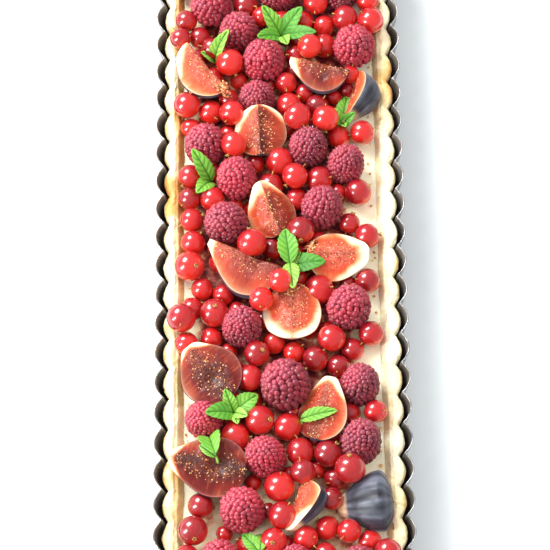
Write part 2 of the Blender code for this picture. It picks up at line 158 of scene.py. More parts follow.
# %% Colours and nodes
def colour(code):
    """Linear red, green, blue and alpha from an sRGB hex code."""
    parts = [int(code[i : i + 2], 16) / 255 for i in (1, 3, 5)]
    return (*[p / 12.92 if p <= 0.04045 else ((p + 0.055) / 1.055) ** 2.4 for p in parts], 1.0)


def fill(node, inputs):
    """Gives inputs, by name or in order, a value or a link. A node stands for its first output in use."""
    for key, value in inputs.items() if isinstance(inputs, dict) else enumerate(inputs):
        if isinstance(value, bpy.types.Node):
            value = next(output for output in value.outputs if output.enabled)
        if isinstance(value, bpy.types.NodeSocket):
            node.id_data.links.new(value, node.inputs[key])
        else:
            node.inputs[key].default_value = value


def add_node(tree, kind, inputs=None, stops=(), **settings):
    """Adds a node with its settings, its inputs as fill takes them, and the stops of its colour ramp."""
    node = tree.nodes.new("ShaderNode" + kind)
    for key, value in settings.items():
        setattr(node, key, value)
    fill(node, inputs or {})
    for number, (position, code) in enumerate(stops):
        marks = node.color_ramp.elements
        mark = marks[number] if number < 2 else marks.new(position)
        mark.position = position
        mark.color = colour(code)
    return node


def new_finish(name, **sockets):
    """A material, what adds a node to it, and its Principled shader with these constant sockets set."""
    material = bpy.data.materials.new(name)
    material.use_nodes = True
    shader = material.node_tree.nodes["Principled BSDF"]
    for key, value in sockets.items():
        shader.inputs[key.replace("_", " ")].default_value = value
    return material, partial(add_node, material.node_tree), shader


# %% [markdown]
# ## Camera, light and floor
# The tart is seen from above and a little from its near end, close to how one looks down at a table. A window
# lights it from the upper left: one large soft source, with a smaller one lower on the left, because glossy
# currants show the windows of a room as separate bright spots. A white card on the right fills the shadows,
# and it and the ceiling's bounce are kept out of reflections. The floor is plain and nearly white.

# %% Camera
CAMERA_PLACE = (0.0245, -0.3075, 0.871)
TURN = Matrix.Rotation(math.radians(5.0), 4, "Z")
TIP = Matrix.Rotation(math.radians(20.09), 4, "X")
SPIN = Matrix.Rotation(math.radians(-6.08), 4, "Z")
camera = bpy.data.objects.new("camera", bpy.data.cameras.new("camera"))
camera.data.lens = 60.0
camera.data.sensor_width = 15.714
camera.data.clip_start = 0.01
camera.matrix_world = Matrix.Translation(CAMERA_PLACE) @ TURN @ TIP @ SPIN
bpy.context.scene.collection.objects.link(camera)
bpy.context.scene.camera = camera


# %% Windows and room light
def add_window(name, place, size, power, aim=(0.0, 0.0, 0.02)):
    """A rectangular soft light at a place, turned towards aim, in metres and watts."""
    lamp = bpy.data.lights.new(name, "AREA")
    lamp.shape = "RECTANGLE"
    lamp.size, lamp.size_y = size
    lamp.energy = power
    window = bpy.data.objects.new(name, lamp)
    window.location = place
    window.rotation_euler = (Vector(aim) - Vector(place)).to_track_quat("-Z", "Y").to_euler()
    bpy.context.scene.collection.objects.link(window)
    return window


add_window("tall_window", (-0.62, 0.72, 0.95), (0.60, 0.60), 25.0)
add_window("side_window", (-0.75, -0.30, 0.50), (0.16, 0.50), 9.5)
bounce = add_window("ceiling_bounce", (0.25, 0.1, 1.6), (1.6, 1.6), 12.0)
card = add_window("white_card", (0.80, -0.05, 0.55), (0.5, 0.9), 4.5)
for soft_light in (bounce, card):
    soft_light.visible_glossy = False  # it lights softly and shows no image in glossy fruit

world = bpy.data.worlds.new("room")
world.use_nodes = True
world.node_tree.nodes["Background"].inputs["Color"].default_value = colour("#F4F6F8")
world.node_tree.nodes["Background"].inputs["Strength"].default_value = 0.56
bpy.context.scene.world = world
bpy.context.scene.view_settings.view_transform = "Standard"

# %% Floor
plaster, add, shader = new_finish("matt_pale_board", Roughness=0.9)
place = add("NewGeometry")
mottle = add("TexNoise", {"Vector": place, "Scale": 9.0, "Detail": 3.0})
tone = add("ValToRGB", {"Fac": mottle}, stops=((0.3, "#D3D7D9"), (0.7, "#DBDFE0")))
fill(shader, {"Base Color": tone})
bpy.ops.mesh.primitive_plane_add(size=8.0, location=(0, 0, 0))
floor = bpy.context.object
floor.name = "pale_floor"
floor.data.materials.append(plaster)
lamps = [thing.name for thing in bpy.context.scene.objects if thing.type == "LIGHT"]
print("camera", [round(v, 3) for v in camera.location], "lights", lamps)

# %% [markdown]
# ## The fluted outline
# Tin and shell share one outline: a rectangle through the inner cusps, where each stretch between two cusps
# swells out as a round flute. One function gives it at any inset and depth, so shell and tin stay in step.

# %% Fluted outline
LONG_FLUTES = 24
END_FLUTES = 6
FLUTE_PITCH = 13.2
FLUTE_STEPS = 16
TIN_DEPTH = 3.35  # how far a flute of the tin swells out of its cusps
TIN_LEAN = 3.0  # how far the foot stands inside the rim
tin_high = box_mm("tin")[1]
CUSP_HALF_WIDTH = tin_high[0] - TIN_DEPTH
CUSP_HALF_LENGTH = tin_high[1] - TIN_DEPTH


def fluted_outline(inset, depth, steps=FLUTE_STEPS):
    """The outline's points in plan, and where each lies on its flute, from 0 at a cusp to 1 at the next."""
    half_width = CUSP_HALF_WIDTH - inset
    half_length = CUSP_HALF_LENGTH - inset
    run = LONG_FLUTES * FLUTE_PITCH / 2
    span = END_FLUTES * FLUTE_PITCH / 2
    right = [(half_width, -run + FLUTE_PITCH * step) for step in range(LONG_FLUTES + 1)]
    far = [(span - FLUTE_PITCH * step, half_length) for step in range(END_FLUTES + 1)]
    cusps = np.array(right + far + [(-x, -y) for x, y in right + far])
    after = np.roll(cusps, -1, axis=0)
    along = after - cusps
    out = np.stack([along[:, 1], -along[:, 0]], axis=1)
    out /= np.linalg.norm(out, axis=1, keepdims=True)
    share = np.arange(steps) / steps
    swell = depth * 4 * share * (1 - share)
    outline = cusps[:, None] + along[:, None] * share[None, :, None] + out[:, None] * swell[None, :, None]
    return outline.reshape(-1, 2), np.tile(share, len(cusps))


def at_height(outline, z):
    """Outline points with their height added, which may differ from point to point."""
    return np.column_stack([outline, np.broadcast_to(z, len(outline))])


def lean_inset(z):
    """How far the tin's outer face stands inside its rim at a height."""
    return TIN_LEAN * (1 - z / tin_high[2])


print("outline points:", len(fluted_outline(0, TIN_DEPTH)[0]))

# %% [markdown]
# ## The tin
# The tin is pressed from thin steel with a dark non-stick coat, and its rim is a plain cut edge where bare
# metal shows as a bright line. It could be a Solidify modifier on a sheet, but a section walked around the
# outline gives control of the cut edge, the rounded foot and the shallow panel under the base.

# %% Finish of the coated steel
coated_steel, add, shader = new_finish("dark_coated_steel", Metallic=0.1, Roughness=0.42)
place = add("NewGeometry")
# Baked-on bloom: cloudy patches of about 12 mm that are duller and browner.
patches = add("TexNoise", {"Vector": place, "Scale": 85.0, "Detail": 4.0})
tone = add("ValToRGB", {"Fac": patches}, stops=((0.32, "#5E5B58"), (0.52, "#6F6B67"), (0.72, "#827C75")))
dulling = add("MapRange", (patches, 0.3, 0.7, 0.26, 0.46))
orange_peel = add("TexNoise", {"Vector": place, "Scale": 900.0, "Detail": 2.0})
bump = add("Bump", {"Height": orange_peel, "Strength": 0.15, "Distance": 0.0004})
fill(shader, {"Base Color": tone, "Roughness": dulling, "Normal": bump})

bare_steel, add, shader = new_finish("bare_cut_steel", Metallic=1.0, Roughness=0.36)
place = add("NewGeometry")
scuffs = add("TexNoise", {"Vector": place, "Scale": 420.0, "Detail": 3.0})
tone = add("ValToRGB", {"Fac": scuffs}, stops=((0.35, "#8C8C8E"), (0.62, "#B4B6B8")))
fill(shader, {"Base Color": tone})

# %% The tin's sheet
TIN_WALL = 0.7
CUT_EDGE = 24.55  # above this height the sheet is bare


def make_tin():
    """Rings from the panel under the base, out and up the flutes, over the rim and down to the floor."""
    rim = tin_high[2]
    section = [(12.0, 0.45), (9.4, 0.45), (9.0, 0.0), (TIN_LEAN + 0.9, 0.0)]  # inset and height
    section += [(lean_inset(z) + curl, z) for z, curl in ((0.12, 0.45), (0.45, 0.15), (1.1, 0.0))]
    section += [(lean_inset(z), z) for z in (4.0, 8.0, 12.0, 16.0, 20.0, 23.0, CUT_EDGE)]
    section += [(0.10, rim - 0.14), (0.24, rim - 0.02), (0.46, rim - 0.02), (0.60, rim - 0.14)]
    section += [(lean_inset(z) + TIN_WALL, z) for z in (CUT_EDGE, 23.0, 20.0, 16.0, 12.0, 8.0, 4.0, 1.2)]
    section += [(TIN_LEAN + 1.6, TIN_WALL), (14.0, TIN_WALL)]
    rings = [at_height(fluted_outline(inset, TIN_DEPTH)[0], z) for inset, z in section]
    points = np.concatenate(rings)
    # A used tin isn't true: its wall wanders in and out a little, and most at the rim.
    wander = 0.16 * (waves(points * (1, 1, 0.4), 24.0, 1) - 1) * np.clip(points[:, 2] / rim, 0, 1)
    points[:, :2] *= 1 + wander[:, None] / np.linalg.norm(points[:, :2], axis=1)[:, None]
    count = len(rings[0])
    bare = [z >= CUT_EDGE and after >= CUT_EDGE for (_, z), (_, after) in zip(section, section[1:])]
    kinds = [*np.repeat(bare, count), 0, 0]  # the caps are coated
    faces = tube_faces(len(rings), count)
    tin = make_piece("fluted_tin_sheet", points, faces, [coated_steel, bare_steel], kinds)
    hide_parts("tin")
    return tin


tin = make_tin()
print("tin:", len(tin.data.polygons), "faces")

# %% [markdown]
# ## The shortcrust shell
# Shortcrust has no gluten strands, so it bakes to a sandy crumb: matt, with pits and lumps of about a
# millimetre, pale where the oven was gentle and golden where an edge stood out. The inner slope on the left,
# which faces away from the window, is browned further with painted shade. The rim shrank away from the
# tin and slumped unevenly. Both the slump and the crumb are real relief in the mesh, and only the finest
# grain is left to bump.

# %% Finish of the baked pastry
baked_crumb, add, shader = new_finish(
    "baked_shortcrust", Roughness=0.86, Specular_IOR_Level=0.28, Subsurface_Weight=0.12,
    Subsurface_Scale=0.002,
)
place = add("NewGeometry")
# The attribute holds the crust's baking and, on the left inner slope, painted shade.
browning_and_shade = add("Attribute", attribute_name="browning_and_shade").outputs["Fac"]
drift = add("TexNoise", {"Vector": place, "Scale": 130.0, "Detail": 4.0})
patchy = add("Math", (drift, 0.42, -0.21), operation="MULTIPLY_ADD")
baked_and_shaded = add("Math", (browning_and_shade, patchy), operation="ADD")
tone = add("ValToRGB", {"Fac": baked_and_shaded}, stops=(
    (0.05, "#FAEFCC"), (0.30, "#F6E2B2"), (0.52, "#E6BE7C"), (0.74, "#CC8C46"), (0.95, "#A4622A"),
))
# Grains of flour and butter, some 0.7 mm across, lighter and darker than their crumb.
grains = add("TexVoronoi", {"Vector": place, "Scale": 1500.0, "Randomness": 1.0})
grain_tone = add("MapRange", (grains.outputs["Color"], 0.0, 1.0, 0.90, 1.07))
mixed = add("VectorMath", {0: tone, "Scale": grain_tone}, operation="SCALE")
pits = add("TexNoise", {"Vector": place, "Scale": 1300.0, "Detail": 5.0, "Roughness": 0.65})
bump = add("Bump", {"Height": pits, "Strength": 0.55, "Distance": 0.0005})
fill(shader, {"Base Color": mixed, "Normal": bump})

# %% The shell's rim and well
SHELL_REACH = 2.2  # from the tin's outer face to the shell
SHELL_DEPTH = 2.45  # how far a flute of the shell swells out of its cusps
SHELL_TOP = box_mm("shortcrust_shell")[1][2]
RIM_HALF_WIDTH = 45.0
RIM_HALF_LENGTH = 165.0
WELL_CORNER = 9.0
WELL_FLOOR = 4.5
SHELL_STEPS = 22  # points along a flute
WELL_SLOPE = (  # depth below the rim and distance inwards of the rings on the slope
    (0.5, 0.35), (1.1, 0.75), (1.8, 1.15), (2.6, 1.6), (3.4, 2.05), (4.2, 2.5), (5.2, 3.0), (6.6, 3.2),
)
RIM_CRACKS = ((97.0, -1, 0.35), (-100.0, 1, -0.2))  # y, side and slant of each


def onto_well(outline, out):
    """The nearest points on the rounded rectangle of the well's upper edge, moved outwards by out."""
    core = np.array([RIM_HALF_WIDTH - WELL_CORNER, RIM_HALF_LENGTH - WELL_CORNER])
    inner = np.clip(outline, -core, core)
    away = outline - inner
    away /= np.linalg.norm(away, axis=1, keepdims=True)
    return inner + away * (WELL_CORNER + np.asarray(out)[..., None])


def ease(value, low, high):
    """0 below low, 1 above high, and a smooth step between."""
    share = np.clip((value - low) / (high - low), 0, 1)
    return share * share * (3 - 2 * share)


def make_shell():
    """Rings up the fluted outside, over the crumbly rim and down the slope to the well's floor."""
    outer = [(1.0, 0.0), (6.0, 0.0), (12.0, 0.0), (16.0, 0.0), (18.5, 0.0)]  # height and inset
    outer += [
        (SHELL_TOP - 2.4 * (1 - math.sin(a)), 2.0 * (1 - math.cos(a))) for a in np.linspace(0, 1.45, 10)
    ]
    outline, share = fluted_outline(0, SHELL_DEPTH, SHELL_STEPS)
    rings = [
        at_height(fluted_outline(lean_inset(z) + SHELL_REACH + inset, SHELL_DEPTH, SHELL_STEPS)[0], z)
        for z, inset in outer
    ]
    crest = rings[-1]
    edge = onto_well(outline, 0.55 * waves(at_height(outline, 0), 9.0, 4) + 0.2)
    for step in np.linspace(0.09, 1.0, 12):
        dome = 0.45 * math.sin(math.pi * step) - 0.5 * step**4
        rings.append(at_height(crest[:, :2] * (1 - step) + edge * step, crest[:, 2] + dome))
    for drop, run in WELL_SLOPE:
        swell = 0.5 * waves(at_height(outline, drop), 7.0, 15) * min(1.0, 3 - drop / 2.2)
        away = onto_well(outline, swell - run)
        rings.append(at_height(away, SHELL_TOP - drop))
    rings.append(at_height(onto_well(outline, -4.0), WELL_FLOOR))
    points = np.concatenate(rings)
    x, y, z = points.T
    around = np.tile(share, len(rings))
    count = len(outline)
    ring = np.repeat(np.arange(len(rings)), count)
    shown = ease(z, 14.0, 17.5)
    # The rim slumped by up to a millimetre, in swells some 40 mm long.
    points[:, 2] += shown * (0.55 * waves(points * (1, 1, 0), 38.0, 2) - 0.2) * ease(z, 15.0, 22.0)
    # Two cracks opened across the rim as it cooled.
    for crack_y, side, slant in RIM_CRACKS:
        line = y - crack_y - slant * (np.abs(x) - 46.0) - 0.5 * waves(points, 2.5, 5)
        points[:, 2] -= shown * (x * side > 40) * 0.9 * np.exp(-((line / 0.35) ** 2))
    bulge = np.sin(math.pi * around) ** 1.5 * ease(-ring, -16, -11) * ease(ring, 5, 9)
    slope = ease(ring, len(outer) + 7, len(outer) + 16)
    # The inner slope on the left faces away from the window: its extra browning and blotches there are partly
    # baking and partly painted shade.
    left = ease(-x, 30, 42) * (0.55 + 0.45 * ease(y, -40, 20))
    patch = waves(points, 16.0, 6) * 0.16 + waves(points, 5.0, 7) * 0.10
    blotch = ease(-ring, -32, -22) * left * ease(
        waves(points, 11.0, 13) + 0.5 * waves(points, 4.0, 14), -0.1, 0.8
    )
    browning_and_shade = 0.12 + 0.18 * bulge + slope * (0.04 + 0.42 * left) + patch + 0.42 * blotch
    browning_and_shade += 0.30 * ease(x, 30, 40) * np.exp(-(((y - 92) / 15) ** 2))
    browning_and_shade = np.where(z < 16, 0.6, browning_and_shade)
    faces = tube_faces(len(rings), count)
    shell = make_piece("baked_shell", points, faces, [baked_crumb], values={"browning_and_shade": browning_and_shade})
    lumps = 0.20 * waves(points, 2.6, 8) + 0.15 * waves(points, 1.2, 9) + 0.11 * waves(points, 0.62, 10)
    holes = -0.45 * ease(waves(points, 1.5, 11), 0.52, 0.8)
    push_out(shell, shown * (lumps + holes))
    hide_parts("shortcrust_shell")
    return shell


shell = make_shell()
print("shell:", len(shell.data.polygons), "faces")

# %% [markdown]
# ## The fruit's solids as neighbours
# Cream climbs a little where fruit presses into it, and currants come to rest against larger fruit. Both need
# to know how far a point is from the nearest fruit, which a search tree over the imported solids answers
# quickly.

# %% Search trees over the fruit
RASPBERRY_NODES, FIG_NODES, CURRANT_NODES = (
    sorted(
        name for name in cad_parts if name.startswith(start)
    ) for start in ("raspberry_", "fig_", "redcurrant")
)
ABOVE_ALL = 80.0  # a height over everything, from which plumb lines are dropped


def search_tree(*names):
    """One search tree over the faces of some nodes, in millimetres, with each face's centre and normal."""
    points, faces, planes = [], [], []
    for name in names:
        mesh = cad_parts[name].data
        start = len(points)
        points += [vertex.co / MM for vertex in mesh.vertices]
        faces += [tuple(start + index for index in face.vertices) for face in mesh.polygons]
        planes += [(face.center / MM, face.normal.copy()) for face in mesh.polygons]
    return BVHTree.FromPolygons(points, faces), planes


def height_under(tree, x, y):
    """Height of the first face below a point in plan, or None."""
    hit = tree.ray_cast(Vector((x, y, ABOVE_ALL)), Vector((0, 0, -1)))[0]
    return None if hit is None else hit.z


fruit_tree = search_tree(*RASPBERRY_NODES, *FIG_NODES, *CURRANT_NODES)[0]
print(
    len(RASPBERRY_NODES), "raspberries,", len(FIG_NODES), "pieces of fig,", len(CURRANT_NODES),
    "heaps of currants",
)

# %% [markdown]
# ## The pastry cream
# Pastry cream sets with a smooth, faintly wavy skin. It is custard: milk, yolk and starch, so light sinks in
# a little and comes back warm. Where berries sit, it is pushed up into a small rim and takes a stain of red
# juice, and it is darkened with painted shade near the fruit and, more deeply, between the fruit towards the
# middle.

# %% Finish of the set cream
set_custard, add, shader = new_finish(
    "set_pastry_cream", Roughness=0.42, Subsurface_Weight=0.35, Subsurface_Scale=0.003,
    Specular_IOR_Level=0.45, Subsurface_Radius=(1.0, 0.7, 0.4),
)
place = add("NewGeometry")
stain_and_shade = add("Attribute", attribute_name="juice_and_shade").outputs["Fac"]
blot = add("TexNoise", {"Vector": place, "Scale": 260.0, "Detail": 3.0})
soak_and_shade = add("Math", (blot, stain_and_shade), operation="MULTIPLY")
# The stain runs from pink into deep maroon; the deep end is painted shade near and between the fruit.
tone = add("ValToRGB", {"Fac": soak_and_shade}, stops=(
    (0.08, "#FFF7D8"), (0.26, "#FAE4B8"), (0.40, "#C4644E"), (0.55, "#801E28"), (0.75, "#4C0C16"),
))
skin = add("TexNoise", {"Vector": place, "Scale": 500.0, "Detail": 3.0})
bump = add("Bump", {"Height": skin, "Strength": 0.2, "Distance": 0.0005})
fill(shader, {"Base Color": tone, "Normal": bump})

# %% The cream's surface
CREAM_STEP = 1.2  # between points of the grid
cream_low, cream_high = box_mm("pastry_cream")


def make_cream():
    """A grid over the well, a little wider than it, so that its edge lies inside the crust."""
    width = cream_high[0] + 0.5
    length = cream_high[1] + 0.5
    columns = int(2 * width / CREAM_STEP) + 1
    rows = int(2 * length / CREAM_STEP) + 1
    across, along = np.meshgrid(np.linspace(-width, width, columns), np.linspace(-length, length, rows))
    flat = np.column_stack([across.ravel(), along.ravel(), np.full(rows * columns, cream_high[2] - 0.3)])
    away = np.array([fruit_tree.find_nearest(Vector(point))[3] for point in flat])
    rise = 0.18 * waves(flat, 14.0, 12) + 0.06 * waves(flat, 4.0, 13)
    to_edge = np.minimum(width - np.abs(flat[:, 0]), length - np.abs(flat[:, 1]))
    flat[:, 2] += rise + 0.55 * np.exp(-away / 1.3) + 0.35 * np.exp(-to_edge / 2.0)
    edge = grid_border(rows, columns)
    skirt = flat[edge] * (1, 1, 0) + (0, 0, cream_low[2])
    start = len(flat)
    faces = grid_faces(rows, columns)
    for number, top in enumerate(edge):
        after = (number + 1) % len(edge)
        faces.append([top, start + number, start + after, edge[after]])
    faces.append(list(reversed(range(start, start + len(edge)))))
    # Stain and painted shade: the cream darkens near each fruit, wider and deeper towards the middle, where
    # the fruit lies close.
    inward = ease(-np.abs(flat[:, 0] + 3.0), -38, -29) * (0.55 + 0.45 * ease(flat[:, 1], -100, -40))
    juice_and_shade = np.concatenate(
        [np.exp(-away / (1.2 + 8.0 * inward)) * (0.45 + 1.05 * inward), np.zeros(len(edge))]
    )
    cream = make_piece(
        "set_cream", np.concatenate([flat, skirt]), faces, [set_custard], values={"juice_and_shade": juice_and_shade}
    )
    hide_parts("pastry_cream")
    return cream


cream = make_cream()
print("cream:", len(cream.data.polygons), "faces")

# %% [markdown]
# ## Raspberries
# A raspberry is some hundred drupelets, small juicy beads in rows around a hollow core. A displacement of one
# smooth body would blur the creases between them, so each drupelet is a bead of its own, set in rows that
# walk up a thimble profile. Its skin has a pale waxy bloom that is rubbed off on the crowns, and each bead
# keeps its style, a dry curved hair that catches the light.

# %% Finish of the drupelets and their hairs
velvet_skin, add, shader = new_finish(
    "raspberry_drupelets", Roughness=0.36, Subsurface_Weight=0.55, Subsurface_Scale=0.0022, Sheen_Weight=0.12,
    Sheen_Roughness=0.45, Specular_IOR_Level=0.6, Subsurface_Radius=(1.0, 0.15, 0.13),
)
shader.inputs["Sheen Tint"].default_value = colour("#F8DCDC")
crown = add("Attribute", attribute_name="crown").outputs["Fac"]
# Ripeness also carries painted shade: each raspberry is darker on the side away from the window.
ripeness = add("Attribute", attribute_name="ripeness").outputs["Fac"]
ripe = add("ValToRGB", {"Fac": ripeness}, stops=((0.0, "#A40E26"), (0.5, "#78081E"), (1.0, "#4A0616")))
# The flank of a bead keeps its pale bloom, painted stronger on the side facing the window, the crown is
# rubbed to clear red, and the crease is darkened with painted shade.
bloom_and_painted_light = add("Attribute", attribute_name="bloom_and_painted_light").outputs["Fac"]
skin = add("Mix", {0: bloom_and_painted_light, 6: ripe, 7: colour("#CC6078")}, data_type="RGBA")
crease_shade = add("MapRange", (crown, 0.0, 0.5, 0.55, 1.0))
crease_shaded = add("VectorMath", {0: skin, "Scale": crease_shade}, operation="SCALE")
fill(shader, {"Base Color": crease_shaded})

dry_hair, add, shader = new_finish("raspberry_styles", Roughness=0.5)
shader.inputs["Base Color"].default_value = colour("#D9A98A")

# %% Drupelets in rows on a thimble
BEAD_SIDES = 9
BEAD_LEVELS = (-0.35, 0.12, 0.55, 0.86)
BEAD_WIDTH = 0.130  # as a share of the raspberry's width
ROW_STEP = 0.82  # between rows, and the next two, as shares of a bead
BEAD_STEP = 0.94
BEAD_SINK = 0.60
WIDEST = 0.36  # share of the height where a raspberry is widest
HAIRY = 0.50  # share of the beads that kept their hair
BODY_SIDES = 20
RASPBERRY_LEANS = (  # of the tip from upright, and the way it leans, in degrees
    (30, 80), (25, 110), (30, 100), (20, 90), (20, 95), (35, 110), (25, 140), (25, 80), (25, 60),
    (35, 70), (25, 90), (20, 60), (20, 90), (30, 80), (35, 60), (30, 110), (25, 70), (25, 110),
    (40, 70), (25, 120), (25, 110), (20, 90), (20, 90), (20, 90), (25, 30), (25, 60), (25, 200),
)


def thimble(height):
    """Half width of a raspberry at a share of its height, as a share of the widest."""
    low = 1 - 0.28 * np.clip((WIDEST - height) / WIDEST, 0, 1) ** 2
    high = (1 - np.clip((height - WIDEST) / (1 - WIDEST), 0, 1) ** 2.3) ** 0.5
    return np.minimum(low, high)


def bead_places(width, length, bead, draw):
    """Centre, outward direction and size of every drupelet."""
    places = []
    heights = np.linspace(0.0, 1.0, 400)
    profile = np.column_stack([thimble(heights) * width / 2, (heights - 0.5) * length])
    walked = np.concatenate([[0], np.cumsum(np.linalg.norm(np.diff(profile, axis=0), axis=1))])
    rows = np.arange(0.55 * bead, walked[-1], ROW_STEP * bead)
    for row, reach in enumerate(rows):
        radius, level = (np.interp(reach, walked, profile[:, axis]) for axis in (0, 1))
        radius2, level2 = (np.interp(reach + 0.05, walked, profile[:, axis]) for axis in (0, 1))
        slope = math.atan2(radius - radius2, level2 - level)
        inset = max(radius - BEAD_SINK * bead * math.cos(slope), 0.0)
        count = max(1, round(math.tau * inset / (BEAD_STEP * bead)))
        for number in range(count):
            angle = math.tau * (number + row % 2 / 2 + 0.12 * draw.uniform(-1, 1)) / count
            x, y = math.cos(angle), math.sin(angle)
            out = np.array([math.cos(slope) * x, math.cos(slope) * y, math.sin(slope)])
            centre = np.array([inset * x, inset * y, level - BEAD_SINK * bead * math.sin(slope)])
            centre += draw.normal(0, 0.06 * bead, 3)
            places.append((centre, out, bead * draw.uniform(0.54, 0.67)))
    return places


def bead_dome():
    """A unit dome that points up: points ring by ring from its foot to its crown, and faces."""
    points = []
    for level in BEAD_LEVELS:
        reach = math.sqrt(1 - level**2)
        points += [
            (reach * math.cos(angle), reach * math.sin(angle), level) for angle in angles_round(BEAD_SIDES)
        ]
    points.append((0, 0, 1))
    faces = grid_faces(len(BEAD_LEVELS), BEAD_SIDES, wrap=True)
    last = len(points) - 1
    faces += [
        [last - BEAD_SIDES + s, last - BEAD_SIDES + (s + 1) % BEAD_SIDES, last] for s in range(BEAD_SIDES)
    ]
    return np.array(points), faces


DOME_POINTS, DOME_FACES = bead_dome()


def frame_around(out, turn=0.0):
    """Three axes as columns, the third along out."""
    out = np.asarray(out) / np.linalg.norm(out)
    side = np.cross(out, (0.3, 0.9, 0.1))
    side /= np.linalg.norm(side)
    other = np.cross(out, side)
    across = side * math.cos(turn) + other * math.sin(turn)
    return np.column_stack([across, np.cross(out, across), out])


def hair(root, out, draw):
    """A thin tapering curved tube that leaves a bead and bends over."""
    axes = frame_around(out, draw.uniform(0, math.tau))
    length = draw.uniform(1.0, 1.9)
    points = []
    for share in (0.0, 0.5, 1.0):
        spine = root + axes[:, 2] * length * (share - 0.45 * share**2) + axes[:, 0] * length * 0.7 * share**2
        for angle in angles_round(3):
            out = axes[:, 0] * math.cos(angle) + axes[:, 1] * math.sin(angle)
            points.append(spine + out * (0.055 - 0.04 * share))
    return np.array(points), grid_faces(3, 3, wrap=True) + [[6, 7, 8]]


def stack_up(parts):
    """Joins (points, faces) pairs into one array of points and one list of faces."""
    points, faces, start = [], [], 0
    for part_points, part_faces in parts:
        points.append(part_points)
        faces += [[index + start for index in face] for face in part_faces]
        start += len(part_points)
    return np.concatenate(points), faces


def lean_axes(lean, heading):
    """Turns upright into a lean away from it, towards a heading in plan."""
    turn = Matrix.Rotation(math.radians(heading), 3, "Z")
    return np.array(turn @ Matrix.Rotation(math.radians(lean), 3, "Y") @ turn.inverted())


def raspberry_size(low, high, axes):
    """Width and length of the thimble whose box, once it leans, is the node's."""
    tilt = math.acos(min(1.0, axes[2, 2]))
    size = high - low
    width = min(size[0], size[1])
    return width, (size[2] - 0.55 * width * math.sin(tilt)) / math.cos(tilt)


def make_raspberry(node, lean, heading):
    """Beads, a body behind them darkened with painted shade, and the hairs, in one piece."""
    draw = np.random.default_rng(int(node[-2:]) + 40)
    low, high = box_mm(node)
    axes = lean_axes(lean, heading)
    width, length = raspberry_size(low, high, axes)
    bead = BEAD_WIDTH * width * draw.uniform(0.92, 1.08)
    parts, crown, hairs = [], [], []
    for centre, out, size in bead_places(width, length, bead, draw):
        squeeze = draw.uniform(0.84, 1.12)
        local = DOME_POINTS * (size * squeeze, size / squeeze, size * 1.08)
        parts.append((centre + local @ frame_around(out, draw.uniform(0, math.tau)).T, DOME_FACES))
        crown.append(DOME_POINTS[:, 2])
        if draw.random() < HAIRY:
            hairs.append(hair(centre + out * size, out + draw.normal(0, 0.35, 3), draw))
    beads = sum(len(faces) for _, faces in parts)
    heights = (0.02, 0.2, 0.4, 0.6, 0.8, 0.92)
    body = []
    for height in heights:
        radius = max(thimble(height) * width / 2 - 0.52 * bead, 0.4)
        for angle in angles_round(BODY_SIDES):
            body.append((radius * math.cos(angle), radius * math.sin(angle), (height - 0.5) * length * 0.93))
    body_faces = tube_faces(len(heights), BODY_SIDES)
    parts.append((np.array(body), body_faces))
    # The body behind the beads takes the crease's full painted shade.
    crown.append(np.full(len(body), -0.3))
    plain = len(body_faces)
    parts += hairs
    crown.append(np.ones(sum(len(points) for points, _ in hairs)))
    points, faces = stack_up(parts)
    points = points @ axes.T
    middle = (low + high) / 2
    beads_only = points[: sum(len(p) for p, _ in parts[: len(parts) - len(hairs)])]
    points += middle - (beads_only.min(axis=0) + beads_only.max(axis=0)) / 2
    crown = np.concatenate(crown)
    away = points - middle
    # Painted light and shade: the bloom is painted stronger and the red lighter on the side that faces the
    # window.
    toward_window = away @ (-0.55, 0.60, 0.58) / np.linalg.norm(away, axis=1)
    bloom_and_painted_light = np.interp(crown, (0.25, 0.55, 0.80, 1.0), (0.0, 0.18, 0.30, 0.14))
    bloom_and_painted_light *= 0.40 + 1.1 * ease(toward_window, -0.1, 0.9)
    ripeness = 0.45 + 0.28 * waves(points, 5.0, 20) + 0.30 * draw.uniform(-1, 1) - 0.12 * toward_window
    kinds = [0] * (beads + plain) + [1] * (len(faces) - beads - plain)
    piece = make_piece(
        f"{node}_drupelets", points, faces, [velvet_skin, dry_hair], kinds,
        {"crown": crown, "ripeness": ripeness, "bloom_and_painted_light": bloom_and_painted_light},
    )
    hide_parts(node)
    return piece


raspberries = [make_raspberry(node, *lean) for node, lean in zip(RASPBERRY_NODES, RASPBERRY_LEANS)]
print("raspberries:", sum(len(piece.data.polygons) for piece in raspberries), "faces")

# %% [markdown]
# ## Figs
# A ripe fig is a hollow stem end turned inside out: a thin dusky skin, a pale rind, then a ring of orange-red
# flesh with fine streaks towards the middle, where the seeds sit in a grainy pulp. Each piece is a wedge or a
# half, so its section is a fan: down one cut face, round the skin and back up the other. Points on the cuts
# carry how deep they lie, from 0 on the fig's axis to 1 at the skin, and the finish reads that.

# %% Finish of the cut flesh
cut_flesh, add, shader = new_finish(
    "cut_fig_flesh", Roughness=0.38, Subsurface_Weight=0.20, Subsurface_Scale=0.002, Specular_IOR_Level=0.25,
    Coat_Weight=0.15, Coat_Roughness=0.12, Subsurface_Radius=(1.0, 0.30, 0.15),
)
depth = add("Attribute", attribute_name="depth").outputs["Fac"]
# The tone attribute holds each fig's own darkness and painted shade on a cut face that looks to +x.
tone = add("Attribute", attribute_name="tone").outputs["Fac"]
grain_place = add("Attribute", attribute_name="flesh_place").outputs["Vector"]
